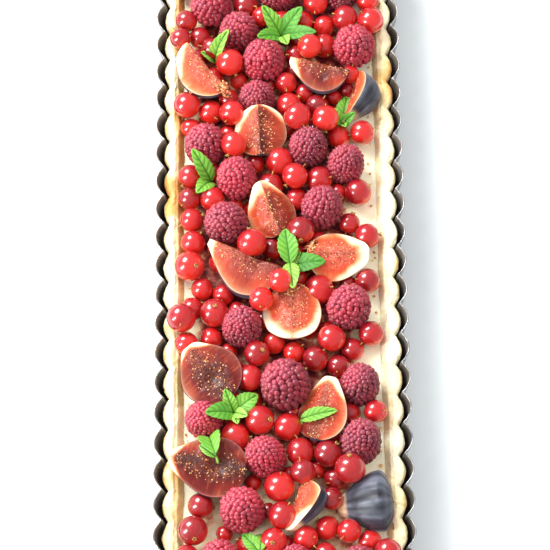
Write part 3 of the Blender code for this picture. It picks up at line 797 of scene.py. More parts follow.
# The borders between the rings wander, and fine streaks run from rind to middle.
wander = add("TexNoise", {"Vector": grain_place, "Scale": 0.28, "Detail": 3.0})
streak_place = add("VectorMath", (grain_place, (1.0, 0.16, 1.0)), operation="MULTIPLY")
streaks = add("TexNoise", {"Vector": streak_place, "Scale": 0.95, "Detail": 4.0})
moved = add("Math", (wander, 0.34, -0.17), operation="MULTIPLY_ADD")
combed = add("Math", (streaks, 0.26, -0.13), operation="MULTIPLY_ADD")
shifted = add("Math", (moved, combed), operation="ADD")
inner = add("MapRange", (depth, 0.97, 0.75, 0.0, 1.0))
kept = add("Math", (shifted, inner), operation="MULTIPLY")
level = add("Math", (depth, kept), operation="ADD")
bright = add("ValToRGB", {"Fac": level}, stops=(
    (0.02, "#80201A"), (0.25, "#A83026"), (0.48, "#C24030"), (0.66, "#D25030"), (0.80, "#DC6C42"),
    (0.92, "#E69668"), (0.972, "#F4CCA8"), (0.985, "#5A2E3C"),
))
deep = add("ValToRGB", {"Fac": level}, stops=(
    (0.02, "#2E0403"), (0.25, "#3C0605"), (0.50, "#4C0A0A"), (0.70, "#5E100E"), (0.86, "#5A120C"),
    (0.94, "#6E2620"), (0.974, "#985450"), (0.985, "#281624"),
))
flesh = add("Mix", {0: tone, 6: bright, 7: deep}, data_type="RGBA")
# Pulp near the middle is grainy: cells some 0.6 mm wide, each its own shade of salmon.
cells = add("TexVoronoi", {"Vector": grain_place, "Scale": 1.7}, feature="F1")
shade = add("SeparateColor", (cells.outputs["Color"],))
middle = add("MapRange", (level, 0.70, 0.30, 0.0, 0.60))
fresh = add("MapRange", (tone, 0.0, 0.9, 1.0, 0.12))
showing = add("Math", (middle, fresh), operation="MULTIPLY")
pulp = add("Math", (shade, showing), operation="MULTIPLY")
grainy = add("Mix", {0: pulp, 6: flesh, 7: colour("#D88464")}, data_type="RGBA")
# Pale fibres run between the rind and the pulp.
young = add("MapRange", (tone, 0.0, 1.0, 0.22, 0.04))
fibre = add("MapRange", (streaks, 0.56, 0.70, 0.0, young))
fibrous = add("Mix", {0: fibre, 6: grainy, 7: colour("#E88A64")}, data_type="RGBA")
# Towards the stem the flesh turns to white pith, by way of orange.
rind = add("Attribute", attribute_name="rind").outputs["Fac"]
combed_rind = add("Math", (combed, 1.6, rind), operation="MULTIPLY_ADD")
pith = add("ValToRGB", {"Fac": combed_rind}, stops=(
    (0.15, "#D0582C"), (0.42, "#E08C60"), (0.68, "#ECBC94"), (0.92, "#F4E0C0"),
))
paling = add("MapRange", (combed_rind, 0.02, 0.40, 0.0, 1.0))
pale_flesh = add("Mix", {0: paling, 6: fibrous, 7: pith}, data_type="RGBA")
rough = add("MapRange", (level, 0.6, 0.85, 0.36, 0.5))
relief = add("Math", (cells, middle), operation="MULTIPLY")
ridged = add("Math", (relief, combed), operation="ADD")
bump = add("Bump", {"Height": ridged, "Strength": 0.45, "Distance": 0.0007})
fill(shader, {"Base Color": pale_flesh, "Roughness": rough, "Normal": bump})

# %% Finish of the fig's skin and its seeds
dusky_skin, add, shader = new_finish(
    "fig_skin_with_bloom", Roughness=0.45, Sheen_Weight=0.25, Sheen_Roughness=0.5, Specular_IOR_Level=0.45
)
shader.inputs["Sheen Tint"].default_value = colour("#C9CBE8")
grain_place = add("Attribute", attribute_name="flesh_place").outputs["Vector"]
rib_place = add("VectorMath", (grain_place, (0.012, 0.0, 1.0)), operation="MULTIPLY")
ribs = add("TexNoise", {"Vector": rib_place, "Scale": 0.42, "Detail": 1.0})
place = add("NewGeometry")
cloud = add("TexNoise", {"Vector": place, "Scale": 110.0, "Detail": 3.0, "Distortion": 0.6})
both = add("Math", (ribs, cloud), operation="ADD")
half = add("Math", (both, 0.5), operation="MULTIPLY")
tone = add("ValToRGB", {"Fac": half}, stops=(
    (0.36, "#17151B"), (0.46, "#26272F"), (0.55, "#3E414B"), (0.68, "#6C717D"),
))
stem = add("Attribute", attribute_name="stem").outputs["Fac"]
cut = add("Mix", {0: stem, 6: tone, 7: colour("#E8BE94")}, data_type="RGBA")
bump = add("Bump", {"Height": ribs, "Strength": 0.8, "Distance": 0.0016})
fill(shader, {"Base Color": cut, "Normal": bump})

golden_seed, add, shader = new_finish(
    "fig_seeds", Roughness=0.32, Subsurface_Weight=0.2, Subsurface_Scale=0.001
)
number = add("Attribute", attribute_name="number").outputs["Fac"]
tone = add("ValToRGB", {"Fac": number}, stops=((0.0, "#A85C34"), (0.5, "#CC8C54"), (1.0, "#E6C08C")))
fill(shader, {"Base Color": tone})

# %% The pieces of fig
# Heading of the blossom end, its lift, roll of the skin away from straight down, length, radius and cut
# sector, all as in the solids but for a few headings and rolls, which show more of a cut or of the skin. Then
# how dark the flesh is, how far the pale rind reaches in from the stem, where the fig is widest, how wide the
# stem end was cut, and how much painted shade darkens the cut face that looks to +x, away from the window.
FIGS = (
    (-52, -4, -48, 29, 14, 84, 0.15, 0.34, 0.55, 0.50, 0.1),
    (-16, 0, -32, 27, 13, 110, 0.72, 0.24, 0.60, 0.25, -0.6),
    (72, 0, -117, 26, 13.5, 68, 0.25, 0.15, 0.60, 0.13, 0.3),
    (-88, -8, 5, 23, 13, 130, 0.50, 0.44, 0.55, 0.70, 0.75),
    (-69, -8, 0, 26, 12.5, 116, 0.48, 0.40, 0.58, 0.26, 0.45),
    (-24, 0, -69, 36, 18.5, 42, 0.50, 0.16, 0.60, 0.13, 0.3),
    (180, 0, 0, 27, 13, 120, -0.12, 0.46, 0.58, 0.36, -0.2),
    (88, 0, 0, 25, 13.5, 140, -0.12, 0.48, 0.50, 0.60, 0.2),
    (-52, 0, 4, 29, 13.4, 168, 0.98, 0.15, 0.56, 0.25, 0.35),
    (-106, -4, 18, 28, 11.5, 150, 0.40, 0.26, 0.62, 0.25, -0.3),
    (-12, 0, 0, 33, 13.2, 164, 1.02, 0.17, 0.60, 0.25, 0.35),
    (71, 0, -88, 23, 13, 84, 0, 0.50, 0.78, 0.30, 0.3),
    (4, 10, 180, 24, 13.4, 150, 0.50, 0.20, 0.80, 0.22, 0.3),
    (60, 0, 0, 27, 12.5, 120, 0.40, 0.30, 0.58, 0.20, 0.3),
    (15, 0, 0, 30, 13, 130, 0.35, 0.30, 0.58, 0.20, 0.3),
)
CUT_STEPS = 24  # points from the axis to the skin
SKIN_STEPS = 26
FIG_STEPS = 56
SKIN_EDGE = 0.985  # share of the radius beyond which a cut shows skin
SEED_SIZE = (0.50, 0.38, 0.30)
SEEDS_PER_POINT = 0.085


def fig_reach(share, widest, blunt):
    """The fig's radius along its length, 0 at the stem and 1 at the blossom end, as a share of its widest."""
    neck = blunt + (1 - blunt) * np.sin(math.pi / 2 * np.clip(share / widest, 0, 1) ** 1.15) ** 0.9
    corner = 0.45 * max(blunt - 0.13, 0)
    if corner:
        neck *= np.sqrt(1 - (1 - np.clip(share / corner, 0, 1)) ** 2)
    bowl = np.sqrt(1 - (np.clip(share - widest, 0, 1) / (1 - widest)) ** 2)
    return np.where(share < widest, neck, bowl)


def fig_section(sector):
    """Angle and share of the radius for each point round the fan, and which face each belongs to."""
    half = math.radians(sector / 2)
    shares = np.linspace(0, 1, CUT_STEPS, endpoint=False)
    angles = np.concatenate(
        [np.full(CUT_STEPS, -half), np.linspace(-half, half, SKIN_STEPS), np.full(CUT_STEPS - 1, half)]
    )
    reach = np.concatenate([shares, np.ones(SKIN_STEPS), shares[:0:-1]])
    side = np.concatenate([np.full(CUT_STEPS, -1), np.zeros(SKIN_STEPS), np.ones(CUT_STEPS - 1)])
    return angles, reach, side


def fig_axes(heading, lift, roll):
    """The turn that lays a fig piece on the tart."""
    turn = Matrix.Rotation(math.radians(heading), 3, "Z") @ Matrix.Rotation(math.radians(-lift), 3, "Y")
    return np.array(turn @ Matrix.Rotation(math.radians(roll), 3, "X"))


def seed_shape():
    """A small teardrop of twenty faces and its points."""
    golden = (1 + 5**0.5) / 2
    corners = [
        (-1, golden, 0), (1, golden, 0), (-1, -golden, 0), (1, -golden, 0), (0, -1, golden), (0, 1, golden)
    ]
    corners += [
        (0, -1, -golden), (0, 1, -golden), (golden, 0, -1), (golden, 0, 1), (-golden, 0, -1), (-golden, 0, 1)
    ]
    faces = [(0, 11, 5), (0, 5, 1), (0, 1, 7), (0, 7, 10), (0, 10, 11), (1, 5, 9), (5, 11, 4), (11, 10, 2)]
    faces += [
        (10, 7, 6), (7, 1, 8), (3, 9, 4), (3, 4, 2), (3, 2, 6), (3, 6, 8), (3, 8, 9), (4, 9, 5), (2, 4, 11)
    ]
    faces += [(6, 2, 10), (8, 6, 7), (9, 8, 1)]
    points = np.array(corners) / math.sqrt(1 + golden**2)
    return points * SEED_SIZE, faces


SEED_POINTS, SEED_FACES = seed_shape()
fig_seeds = []


def make_fig(node, heading, lift, roll, length, radius, sector, darkness, pale, widest, blunt, contrast):
    """One wedge or half: relief on the cut faces, a waxy skin, and places for the seeds."""
    number = int(node[-2:])
    draw = np.random.default_rng(number + 90)
    angles, reach, side = fig_section(sector)
    along = np.linspace(0.012, 0.985, FIG_STEPS)
    station = np.repeat(along, len(angles))
    angle, share, face = (np.tile(values, FIG_STEPS) for values in (angles, reach, side))
    girth = radius * fig_reach(station, widest, blunt)
    out = np.column_stack([np.zeros(len(angle)), np.sin(angle), -np.cos(angle)])
    cut_normal = np.column_stack([np.zeros(len(angle)), face * np.cos(angle), face * np.sin(angle)])
    cut_normal = np.where((share < 0.01)[:, None], (0.0, 0.0, 1.0), cut_normal)
    spine = np.column_stack([(station - 0.5) * length, np.zeros(len(angle)), np.zeros(len(angle))])
    flat = spine + out * (girth * share)[:, None]
    field = flat + 40.0 * number  # each fig has its own part of the waves
    axes = fig_axes(heading, lift, roll)
    # Painted shade: the cut face that looks to +x, away from the window, is darkened by contrast.
    side_shade = contrast * (cut_normal @ axes.T)[:, 0]
    # White pith fills the stem end and follows the rind from there, less so on a face in painted shade.
    keep = 1 - 0.8 * ease(side_shade, 0.05, 0.5)
    border = pale * keep * (1 - blunt + (0.35 + 1.8 * blunt) * share**2 + 0.25 * waves(field, 5.0, 30))
    rind = ease(border - station, -0.1 * pale, 0.8 * pale) * (share < SKIN_EDGE)
    depth = np.where(share > SKIN_EDGE, 1.0, np.minimum(share, 0.975))
    soft = ease(-share, -0.80, -0.55) * ease(-rind, -0.5, -0.1) * (face != 0)
    relief = soft * (0.20 * waves(field, 2.8, 31) + 0.13 * waves(field, 1.2, 32) + 0.15)
    hollow = soft * ease(-np.abs(station - 0.62), -0.2, 0) * ease(-share, -0.32, -0.05)
    relief -= hollow * 1.1 * draw.uniform(0.3, 1.3)
    round_over = 0.35 * (share > 0.97) * (face != 0)
    sway = angle * 21 + 1.5 * np.sin(4 * station + radius) + 1.2 * waves(field, 6.0, 33)
    skin_waves = 0.11 * np.sin(sway) * np.sin(math.pi * station) * (face == 0)
    points = flat + cut_normal * (relief - round_over)[:, None] + out * skin_waves[:, None]
    low, high = box_mm(node)
    turned = points @ axes.T
    shift = (low + high) / 2 - (turned.min(axis=0) + turned.max(axis=0)) / 2
    is_skin = [int(CUT_STEPS <= column < CUT_STEPS + SKIN_STEPS - 1) for column in range(len(angles))]
    kinds = is_skin * (FIG_STEPS - 1) + [0, 1]  # the stem end is a cut, the blossom end skin
    values = {
        "depth": depth,
        "rind": rind,
        "tone": darkness + 0.3 * waves(field, 7.0, 34) + side_shade + 0.4 * (station - 0.55),
        "flesh_place": np.column_stack([flat[:, 0], girth * share, angle * 6.0]) + 30.0 * number,
        "stem": ease(-station, -0.24, -0.13),
    }
    faces = tube_faces(FIG_STEPS, len(angles))
    piece = make_piece(f"{node}_flesh", turned + shift, faces, [cut_flesh, dusky_skin], kinds, values)
    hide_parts(node)
    seedy = np.flatnonzero((share < 0.58) & (rind < 0.25) & (face != 0) & (share > 0.04))
    normals = cut_normal @ axes.T
    wanted = int(SEEDS_PER_POINT * len(seedy) * draw.uniform(0.85, 1.1))
    for pick in draw.choice(seedy, wanted, replace=False):
        turn = frame_around(normals[pick] + draw.normal(0, 0.25, 3), draw.uniform(0, math.tau))
        centre = turned[pick] + shift + normals[pick] * draw.uniform(-0.08, 0.18) + draw.normal(0, 0.15, 3)
        fig_seeds.append((centre + (SEED_POINTS * draw.uniform(0.55, 0.95)) @ turn.T, SEED_FACES))
    return piece


figs = [make_fig(node, *row) for node, row in zip(FIG_NODES, FIGS)]

# %% [markdown]
# ## Spilled pulp and seeds
# A ripe fig is torn as much as it is cut, and lumps of its grainy middle come up over the cut face. Each lump
# is a low ragged mound laid over the fig below it. All seeds, of the cuts and of the lumps, become one piece.

# %% Pulp that spilled from three of the cuts
fig_pulp, add, shader = new_finish(
    "spilled_fig_pulp", Roughness=0.3, Subsurface_Weight=0.2, Subsurface_Scale=0.001
)
place = add("NewGeometry")
grains = add("TexVoronoi", {"Vector": place, "Scale": 900.0}, feature="F1")
tone = add("ValToRGB", {"Fac": grains}, stops=(
    (0.1, "#E8B080"), (0.35, "#C46A3C"), (0.6, "#7E2014"), (0.85, "#4A0C0C"),
))
bump = add("Bump", {"Height": grains, "Strength": 0.9, "Distance": 0.0008}, invert=True)
fill(shader, {"Base Color": tone, "Normal": bump})

PULP_MOUNDS = (  # x, y, length, width and height of each, and the way it points in degrees
    (4.6, -8.0, 8.5, 5.0, 2.2, 10), (-24.0, 86.5, 9.0, 6.0, 2.4, -50), (13.5, 11.5, 7.5, 5.0, 1.6, 60),
)
MOUND_RINGS = 14
MOUND_SIDES = 36
MOUND_SEEDS = 46
MOUND_SAG = 2.5  # how far a mound follows the fig below it down or up
MOUND_SINK = 0.5
fig_tree = search_tree(*FIG_NODES)[0]


def make_pulp(number, x, y, length, width, height, heading):
    """A ragged low mound that follows the cut under it, with seeds in it."""
    draw = np.random.default_rng(200 + number)
    turn = np.array(Matrix.Rotation(math.radians(heading), 2))
    points = []
    for share in np.linspace(1.0, 0.06, MOUND_RINGS):
        for angle in angles_round(MOUND_SIDES):
            ragged = 1 + 0.22 * math.sin(3 * angle + number) + 0.12 * math.sin(7 * angle)
            reach = share * ragged
            flat = turn @ (length / 2 * reach * math.cos(angle), width / 2 * reach * math.sin(angle))
            points.append((x + flat[0], y + flat[1], height * (1 - share**2) ** 0.7))
    points = np.array(points)
    base = np.array([height_under(fig_tree, *point[:2]) for point in points], float)  # None becomes nan
    usual = np.nanmedian(base)
    points[:, 2] += (
        np.clip(np.where(np.isnan(base), usual, base), usual - MOUND_SAG, usual + MOUND_SAG) - MOUND_SINK
    )
    points[:, 2] += 0.35 * waves(points, 1.3, 70) + 0.25 * waves(points, 0.7, 71)
    mound = make_piece(f"fig_pulp_{number}", points, tube_faces(MOUND_RINGS, MOUND_SIDES), [fig_pulp])
    for pick in draw.choice(len(points), MOUND_SEEDS, replace=False):
        turned = frame_around((draw.normal(0, 0.5), draw.normal(0, 0.5), 1.0), draw.uniform(0, math.tau))
        seed = (SEED_POINTS * draw.uniform(0.9, 1.3)) @ turned.T
        fig_seeds.append((points[pick] + (0, 0, 0.15) + seed, SEED_FACES))


for number, mound in enumerate(PULP_MOUNDS, 1):
    make_pulp(number, *mound)
seed_points, seed_faces = stack_up(fig_seeds)
seed_number = np.repeat(np.random.default_rng(8).uniform(0, 1, len(fig_seeds)), len(SEED_POINTS))
seeds = make_piece("fig_seeds", seed_points, seed_faces, [golden_seed], values={"number": seed_number})
print("figs:", sum(len(piece.data.polygons) for piece in figs), "faces and", len(fig_seeds), "seeds")

# %% [markdown]
# ## Redcurrants
# A redcurrant is a taut skin around clear juice and a few seeds, and shows pale meridians. Its glow on the
# side away from the window is painted light, and its window side takes painted shade. One end keeps the dried
# flower, a brown tuft, and the other a stub of stalk. In the solid model each heap is one body of balls
# pressed together.
# Here every currant is a bead of its own, set down by the same rule: from its place it rolls off larger fruit
# and up against its neighbours.

# %% Finish of the currants
clear_skin, add, shader = new_finish(
    "redcurrant_skin", Roughness=0.30, IOR=1.45, Subsurface_Weight=0.50, Subsurface_Scale=0.0024,
    Specular_IOR_Level=0.7, Coat_Weight=1.0, Coat_Roughness=0.07, Subsurface_Radius=(1.0, 0.10, 0.05),
)
ball_place = add("Attribute", attribute_name="ball_place").outputs["Vector"]
ripeness = add("Attribute", attribute_name="ripeness").outputs["Fac"]
ripe = add("ValToRGB", {"Fac": ripeness}, stops=(
    (0.0, "#CC2018"), (0.35, "#B41214"), (0.7, "#900C12"), (1.0, "#600810"),
))
axes = add("SeparateXYZ", (ball_place,))
angle = add("Math", (axes.outputs["Y"], axes.outputs["X"]), operation="ARCTAN2")
# Eleven meridians, each a soft line, fading at the equator.
turns = add("Math", (angle, 5.5), operation="MULTIPLY")
wave = add("Math", (turns,), operation="SINE")
thin = add("Math", (wave,), operation="ABSOLUTE")
line = add("MapRange", (thin, 0.22, 0.0, 0.0, 0.5))
pole = add("Math", (axes.outputs["Z"],), operation="ABSOLUTE")
near_pole = add("MapRange", (pole, 0.2, 0.9, 0.15, 0.8))
veins = add("Math", (line, near_pole), operation="MULTIPLY")
skin = add("Mix", {0: veins, 6: ripe, 7: colour("#E84838")}, data_type="RGBA")
# Painted light and shade: the side away from the window is painted a warmer glowing red, as if light gathered
# in the juice, and the window's side is painted a darker crimson.
painted_glow = add("Attribute", attribute_name="painted_glow").outputs["Fac"]
shaded = add("MapRange", (painted_glow, -0.1, -0.95, 0.0, 0.50))
window_side_shade = add("Mix", {0: shaded, 6: skin, 7: colour("#8A1426")}, data_type="RGBA")
far_side_glow = add("MapRange", (painted_glow, 0.05, 0.95, 0.0, 0.85))
lit = add("Mix", {0: far_side_glow, 6: window_side_shade, 7: colour("#E43420")}, data_type="RGBA")
fill(shader, {"Base Color": lit})

dried_flower, add, shader = new_finish("dried_flower_and_stalk", Roughness=0.75)
place = add("NewGeometry")
husk = add("TexNoise", {"Vector": place, "Scale": 1200.0, "Detail": 2.0})
tone = add("ValToRGB", {"Fac": husk}, stops=((0.35, "#7A4A22"), (0.55, "#B98A4A"), (0.7, "#C8B070")))
fill(shader, {"Base Color": tone})

# %% Where the currants lie
# Centre x, y, z and diameter of each, a heap to a name. They start from the solids' places but for a few.
REDCURRANTS = {
    "redcurrants_top_left": (
        (-39.5, 125, 23.5, 10), (-43, 114, 25, 9.5), (-36.5, 116, 23.5, 10), (-29.5, 109, 26, 10),
        (-20.5, 100.5, 28.5, 12.5),
    ),
    "redcurrants_top": (
        (-13, 131, 24, 11.5), (-5.5, 124.5, 24.5, 9.5), (2.5, 126, 22.5, 10), (10.5, 122, 22.5, 9.5),
        (18.5, 120.5, 23, 10), (17.5, 129.5, 25, 11), (9, 114, 23, 9), (8.5, 107.5, 23.5, 9),
        (15.5, 107.5, 28.5, 11), (20.5, 112, 24.5, 11), (28.5, 122, 25, 11.5), (39.5, 120, 26, 12),
        (15.5, 140.5, 25, 12), (19.5, 150, 24, 11.5), (39.5, 130.5, 25, 10.5), (40, 142, 25, 11.5),
        (30, 149, 24.5, 12), (38, 157, 25, 12), (-15.5, 142, 24.5, 12), (-12, 152.5, 24, 12),
        (-17.5, 161, 24, 11.5), (-29, 141, 23.5, 10.5), (-39, 139.5, 24.5, 11.5),
    ),
    "redcurrants_left_upper": (
        (-39, 82.5, 24, 12), (-39.5, 73, 22.5, 9), (-27.5, 79, 24, 11), (-20.5, 78.5, 25, 11.5),
        (-22, 70, 22, 8.5), (-20.5, 61, 27, 11.5),
    ),
    "redcurrants_right_upper": (
        (3.5, 91.5, 23.5, 10), (9, 86.5, 22.5, 9), (7.5, 80, 25, 11.5), (9.5, 72.5, 28.5, 12),
        (18, 78.5, 25.5, 10.5), (19.5, 71.5, 28, 12), (26, 67, 24, 10.5), (35.5, 66.5, 24, 11),
    ),
    "redcurrants_middle": (
        (1.5, 55, 27, 12.5), (7.5, 47, 26.5, 11.5), (17.5, 47.5, 26, 11.5), (-3.5, 43.5, 24, 11.5),
        (8, 38.5, 24, 10),
    ),
    "redcurrant_right_lone": ((34, 39, 24, 12),),
    "redcurrants_right_pair": ((30, 24.5, 22.5, 9.5), (37.5, 18, 24, 11)),
    "redcurrants_left": (
        (-39, 47.5, 23.5, 11), (-30, 38, 24.5, 11), (-38, 37.5, 23, 10), (-38.5, 27.5, 23.5, 10.5),
        (-38, 16, 23.5, 11), (-38.5, 5, 24.5, 13), (-34.5, -4, 22.5, 10), (-26.5, -7.5, 22.5, 9.5),
        (-28.5, -15.5, 25.5, 12.5), (-38, -12.5, 23, 10), (-41.5, -19, 28, 12.5), (-30, -26, 22.5, 10),
        (-41.5, -28, 25, 10),
    ),
    "redcurrants_centre": (
        (10, 20, 28, 12), (4, 10.5, 23.5, 11), (-5, 13, 23.5, 10.5), (-14, 15.5, 28.5, 13), (8, 1, 23, 10.5),
        (-0.9, -4.4, 33, 10.5), (17, -4.5, 27, 13), (-8, -12.4, 32, 10.6),
    ),
    "redcurrant_right_low": ((37, -2.5, 23.5, 11),),
    "redcurrants_lower": (
        (-11, -34.5, 25, 11), (-3.5, -31, 22.5, 10), (5.5, -33.5, 22.5, 9.5), (14, -36, 24, 11),
        (21, -30, 26.5, 12), (22.5, -39.5, 23, 10), (29.5, -32.5, 22.5, 10), (37.5, -26.5, 24, 11),
        (-15, -44.5, 25.5, 11.5), (-12.5, -54.5, 23, 9.5), (-10.5, -64, 25, 12.5), (1.5, -65, 25, 12),
        (-20.5, -72, 26.5, 13),
    ),
    "redcurrant_right_lowest": ((38.5, -60, 25, 10),),
    "redcurrants_near_end": (
        (7.5, -79.5, 25.5, 12), (6, -86.5, 28, 10.5), (18.5, -80, 25.5, 12), (29, -85.5, 28.5, 13),
        (24, -89.5, 23, 10), (18.5, -97, 22.5, 9.5), (19, -111.5, 22.5, 10.5), (26.5, -111.5, 24, 10),
        (34.5, -115, 25, 10), (40, -121.5, 25.5, 11.5), (10.5, -114, 24, 10.5), (16.5, -121.5, 24.5, 10),
        (-3.5, -91.5, 26, 13), (-2, -103.5, 25.5, 12), (-5, -114, 25, 11), (-13, -116.5, 23, 10),
        (-9.5, -125, 24, 11.5), (17, -131.5, 24.5, 11.5), (27.5, -140, 24.5, 12), (38, -135, 24, 11.5),
        (34, -149, 24, 12), (23, -158, 25, 12), (11.5, -159, 24.5, 11.5), (1, -157, 24, 11.5),
        (-10, -157.5, 25, 12), (-21.5, -158.5, 24, 11.5),
    ),
    "redcurrants_left_low": (
        (-35, -101, 23.5, 11), (-37.5, -110.5, 25, 12.5), (-39.5, -121.5, 24, 11), (-39, -132.5, 24, 11.5),
        (-28.5, -133, 24, 10.5),
    ),
    "redcurrant_behind_fig": ((34, 95.5, 27, 8.5),),
}
PRESS = 0.15  # how far two currants dent each other
ROLL = 3.0  # the furthest one rolls from its place
SETTLE_ROUNDS = 60
REST_HEIGHT = cream_high[2] - 0.6
OPEN_CREAM = ((-27, -97, 6), (-6.7, -87, 4), (21.7, -86, 5), (7, -54, 4))  # bare spots: x, y and reach
FALL_TRIES = 6000
FALL_LOW, FALL_HIGH = (-36, -150), (31, 150)  # the part of the cream where small currants may lie
FALLEN_RADIUS = (3.6, 5.0)
INTO_FRUIT = 1.3  # how far a fallen currant may press into larger fruit, settled and fallen currants
INTO_SETTLED = 1.0
INTO_FALLEN = 0.3


def step_off(centre, reach, tree, planes=()):
    """The move that takes a ball's centre at least reach away from a surface, or none where it is clear."""
    nearest, normal, _, distance = tree.find_nearest(centre, reach + 8.0)
    if nearest is None:
        return Vector()
    inside = bool(planes) and all((centre - middle).dot(normal) < 0 for middle, normal in planes)
    depth = reach + distance if inside else reach - distance
    if depth <= 0:
        return Vector()
    return (nearest - centre if inside else centre - nearest).normalized() * depth


def settle_currants():
    """Rolls currants off the fruit, off each other and onto the cream. Returns heap, centre and radius."""
    fruit = [search_tree(node) for node in RASPBERRY_NODES + FIG_NODES]
    crust = search_tree("shortcrust_shell")[0]
    balls = [(heap, Vector(row[:3]), row[3] / 2) for heap, rows in REDCURRANTS.items() for row in rows]
    starts = [centre.copy() for _, centre, _ in balls]
    for _ in range(SETTLE_ROUNDS):
        for index, (_, centre, radius) in enumerate(balls):
            for tree, planes in fruit:
                centre += step_off(centre, radius - 0.1, tree, planes) / 2
            for _, other, other_radius in balls[:index]:
                between = centre - other
                push = radius + other_radius - PRESS - between.length
                if push > 0:
                    centre += between.normalized() * push / 2
                    other -= between.normalized() * push / 2
            moved = centre - starts[index]
            if moved.length > ROLL:
                centre -= moved * (1 - ROLL / moved.length)
            centre += step_off(centre, radius + 0.1, crust)
            centre.z = max(centre.z, REST_HEIGHT + radius)
    return balls


def fill_gaps(balls):
    """Small currants that fell between the larger fruit and lie on the cream there."""
    draw = np.random.default_rng(5)
    fallen = []
    for x, y in draw.uniform(FALL_LOW, FALL_HIGH, (FALL_TRIES, 2)):
        radius = draw.uniform(*FALLEN_RADIUS)
        centre = Vector((x, y, REST_HEIGHT + radius))
        away = fruit_tree.find_nearest(centre)[3]
        above = fruit_tree.ray_cast(centre, Vector((0, 0, 1)))[1]
        open_cream = any(math.hypot(x - gap[0], y - gap[1]) < gap[2] for gap in OPEN_CREAM)
        inside = above is not None and above.z > 0
        if open_cream or inside or away < radius - INTO_FRUIT:
            continue
        limits = [(other, radius + size - INTO_SETTLED) for _, other, size in balls]
        limits += [(other, radius + size - INTO_FALLEN) for _, other, size in fallen]
        if all((centre - other).length > limit for other, limit in limits):
            fallen.append(("redcurrants_between", centre, radius))
    return balls + fallen


currants = fill_gaps(settle_currants())
print("currants:", len(currants))

# %% One currant
BALL_COLUMNS = 24
BALL_ROWS = 16
TUFT_SIDES = 10
# height and reach
TUFT_RINGS = ((-0.3, 0.55), (0.25, 0.50), (0.7, 0.85), (1.15, 0.95), (0.9, 0.45), (0.6, 0.15))
STUB_SIDES = 6
POLE = 0.90  # height of a currant's dimples as a share of its radius
SIGHT = np.array(CAMERA_PLACE) / MM
SEEN_FROM = 25.0  # height of the plane that the flowers' places are given on
FLOWERS = (  # places in that plane, along the line of sight, where a dried flower faces up
    (-39, 86.5), (-17, 82.5), (7.5, 53), (11.5, 38), (9, 16), (-36.5, 6), (-28.5, -13), (-8.5, -33),
    (-18.5, -44.5),
    (-5.5, -63.5), (22, -75), (27.5, -80.5), (-37, -114), (-5, -116), (15, -116), (4.5, 42),
)


def flower_direction(centre, radius, draw):
    """The way a currant's flower end points: towards one of the seen flowers, or out of sight."""
    centre = np.array(centre)
    share = (centre[2] - SEEN_FROM) / (SIGHT[2] - SEEN_FROM)
    seen = (centre[:2] - SIGHT[:2] * share) / (1 - share)
    for spot in FLOWERS:
        away = np.array(spot) - seen
        if np.linalg.norm(away) < 0.9 * radius:
            toward = (SIGHT - centre) / np.linalg.norm(SIGHT - centre)
            lift = math.sqrt(max(0.0, 1 - (np.linalg.norm(away) / radius) ** 2))
            return toward * lift + np.append(away / radius, 0.0)
    heading = draw.uniform(0, math.tau)
    return np.array([math.cos(heading), math.sin(heading), draw.uniform(-1.0, 0.1)])


def currant_ball():
    """Points and faces of a unit currant, a little flat, with a dimple at each pole."""
    latitude = np.linspace(-0.485, 0.485, BALL_ROWS) * math.pi
    longitude = np.arange(BALL_COLUMNS) * math.tau / BALL_COLUMNS
    lat, lon = np.meshgrid(latitude, longitude, indexing="ij")
    reach = 1 - 0.07 * np.exp(-(((math.pi / 2 - np.abs(lat)) / 0.22) ** 2))
    x, y, z = reach * np.cos(lat) * np.cos(lon), reach * np.cos(lat) * np.sin(lon), 0.97 * reach * np.sin(lat)
    return np.column_stack([x.ravel(), y.ravel(), z.ravel()]), tube_faces(BALL_ROWS, BALL_COLUMNS)


def tuft(draw):
    """The dried flower: a small crumpled cup of five lobes, pointing up from the pole, in millimetres."""
    points = []
    for height, reach in TUFT_RINGS:
        for angle in angles_round(TUFT_SIDES):
            lobe = 1 + 0.28 * math.cos(5 * angle) * (height > 0.5) + draw.uniform(-0.14, 0.14)
            rise = height + (0.25 * math.cos(5 * angle) + draw.uniform(-0.12, 0.12)) * (height > 0.5)
            points.append((reach * lobe * math.cos(angle), reach * lobe * math.sin(angle), rise))
    return np.array(points), tube_faces(len(TUFT_RINGS), TUFT_SIDES)


def stub(draw):
    """The stub of stalk at the other pole, a short bent peg, in millimetres."""
    bend = draw.uniform(-0.4, 0.4)
    points = []
    for height, reach in ((-0.3, 0.42), (0.5, 0.26), (draw.uniform(1.0, 2.0), 0.3)):
        for angle in angles_round(STUB_SIDES):
            points.append((reach * math.cos(angle) + bend * height**2 / 2, reach * math.sin(angle), height))
    return np.array(points), tube_faces(3, STUB_SIDES)


BALL_POINTS, BALL_FACES = currant_ball()
# The direction along which the painted glow and painted shade run across each currant.
FROM_WINDOW = np.array([0.60, -0.68, -0.42])  # the way light crosses a currant


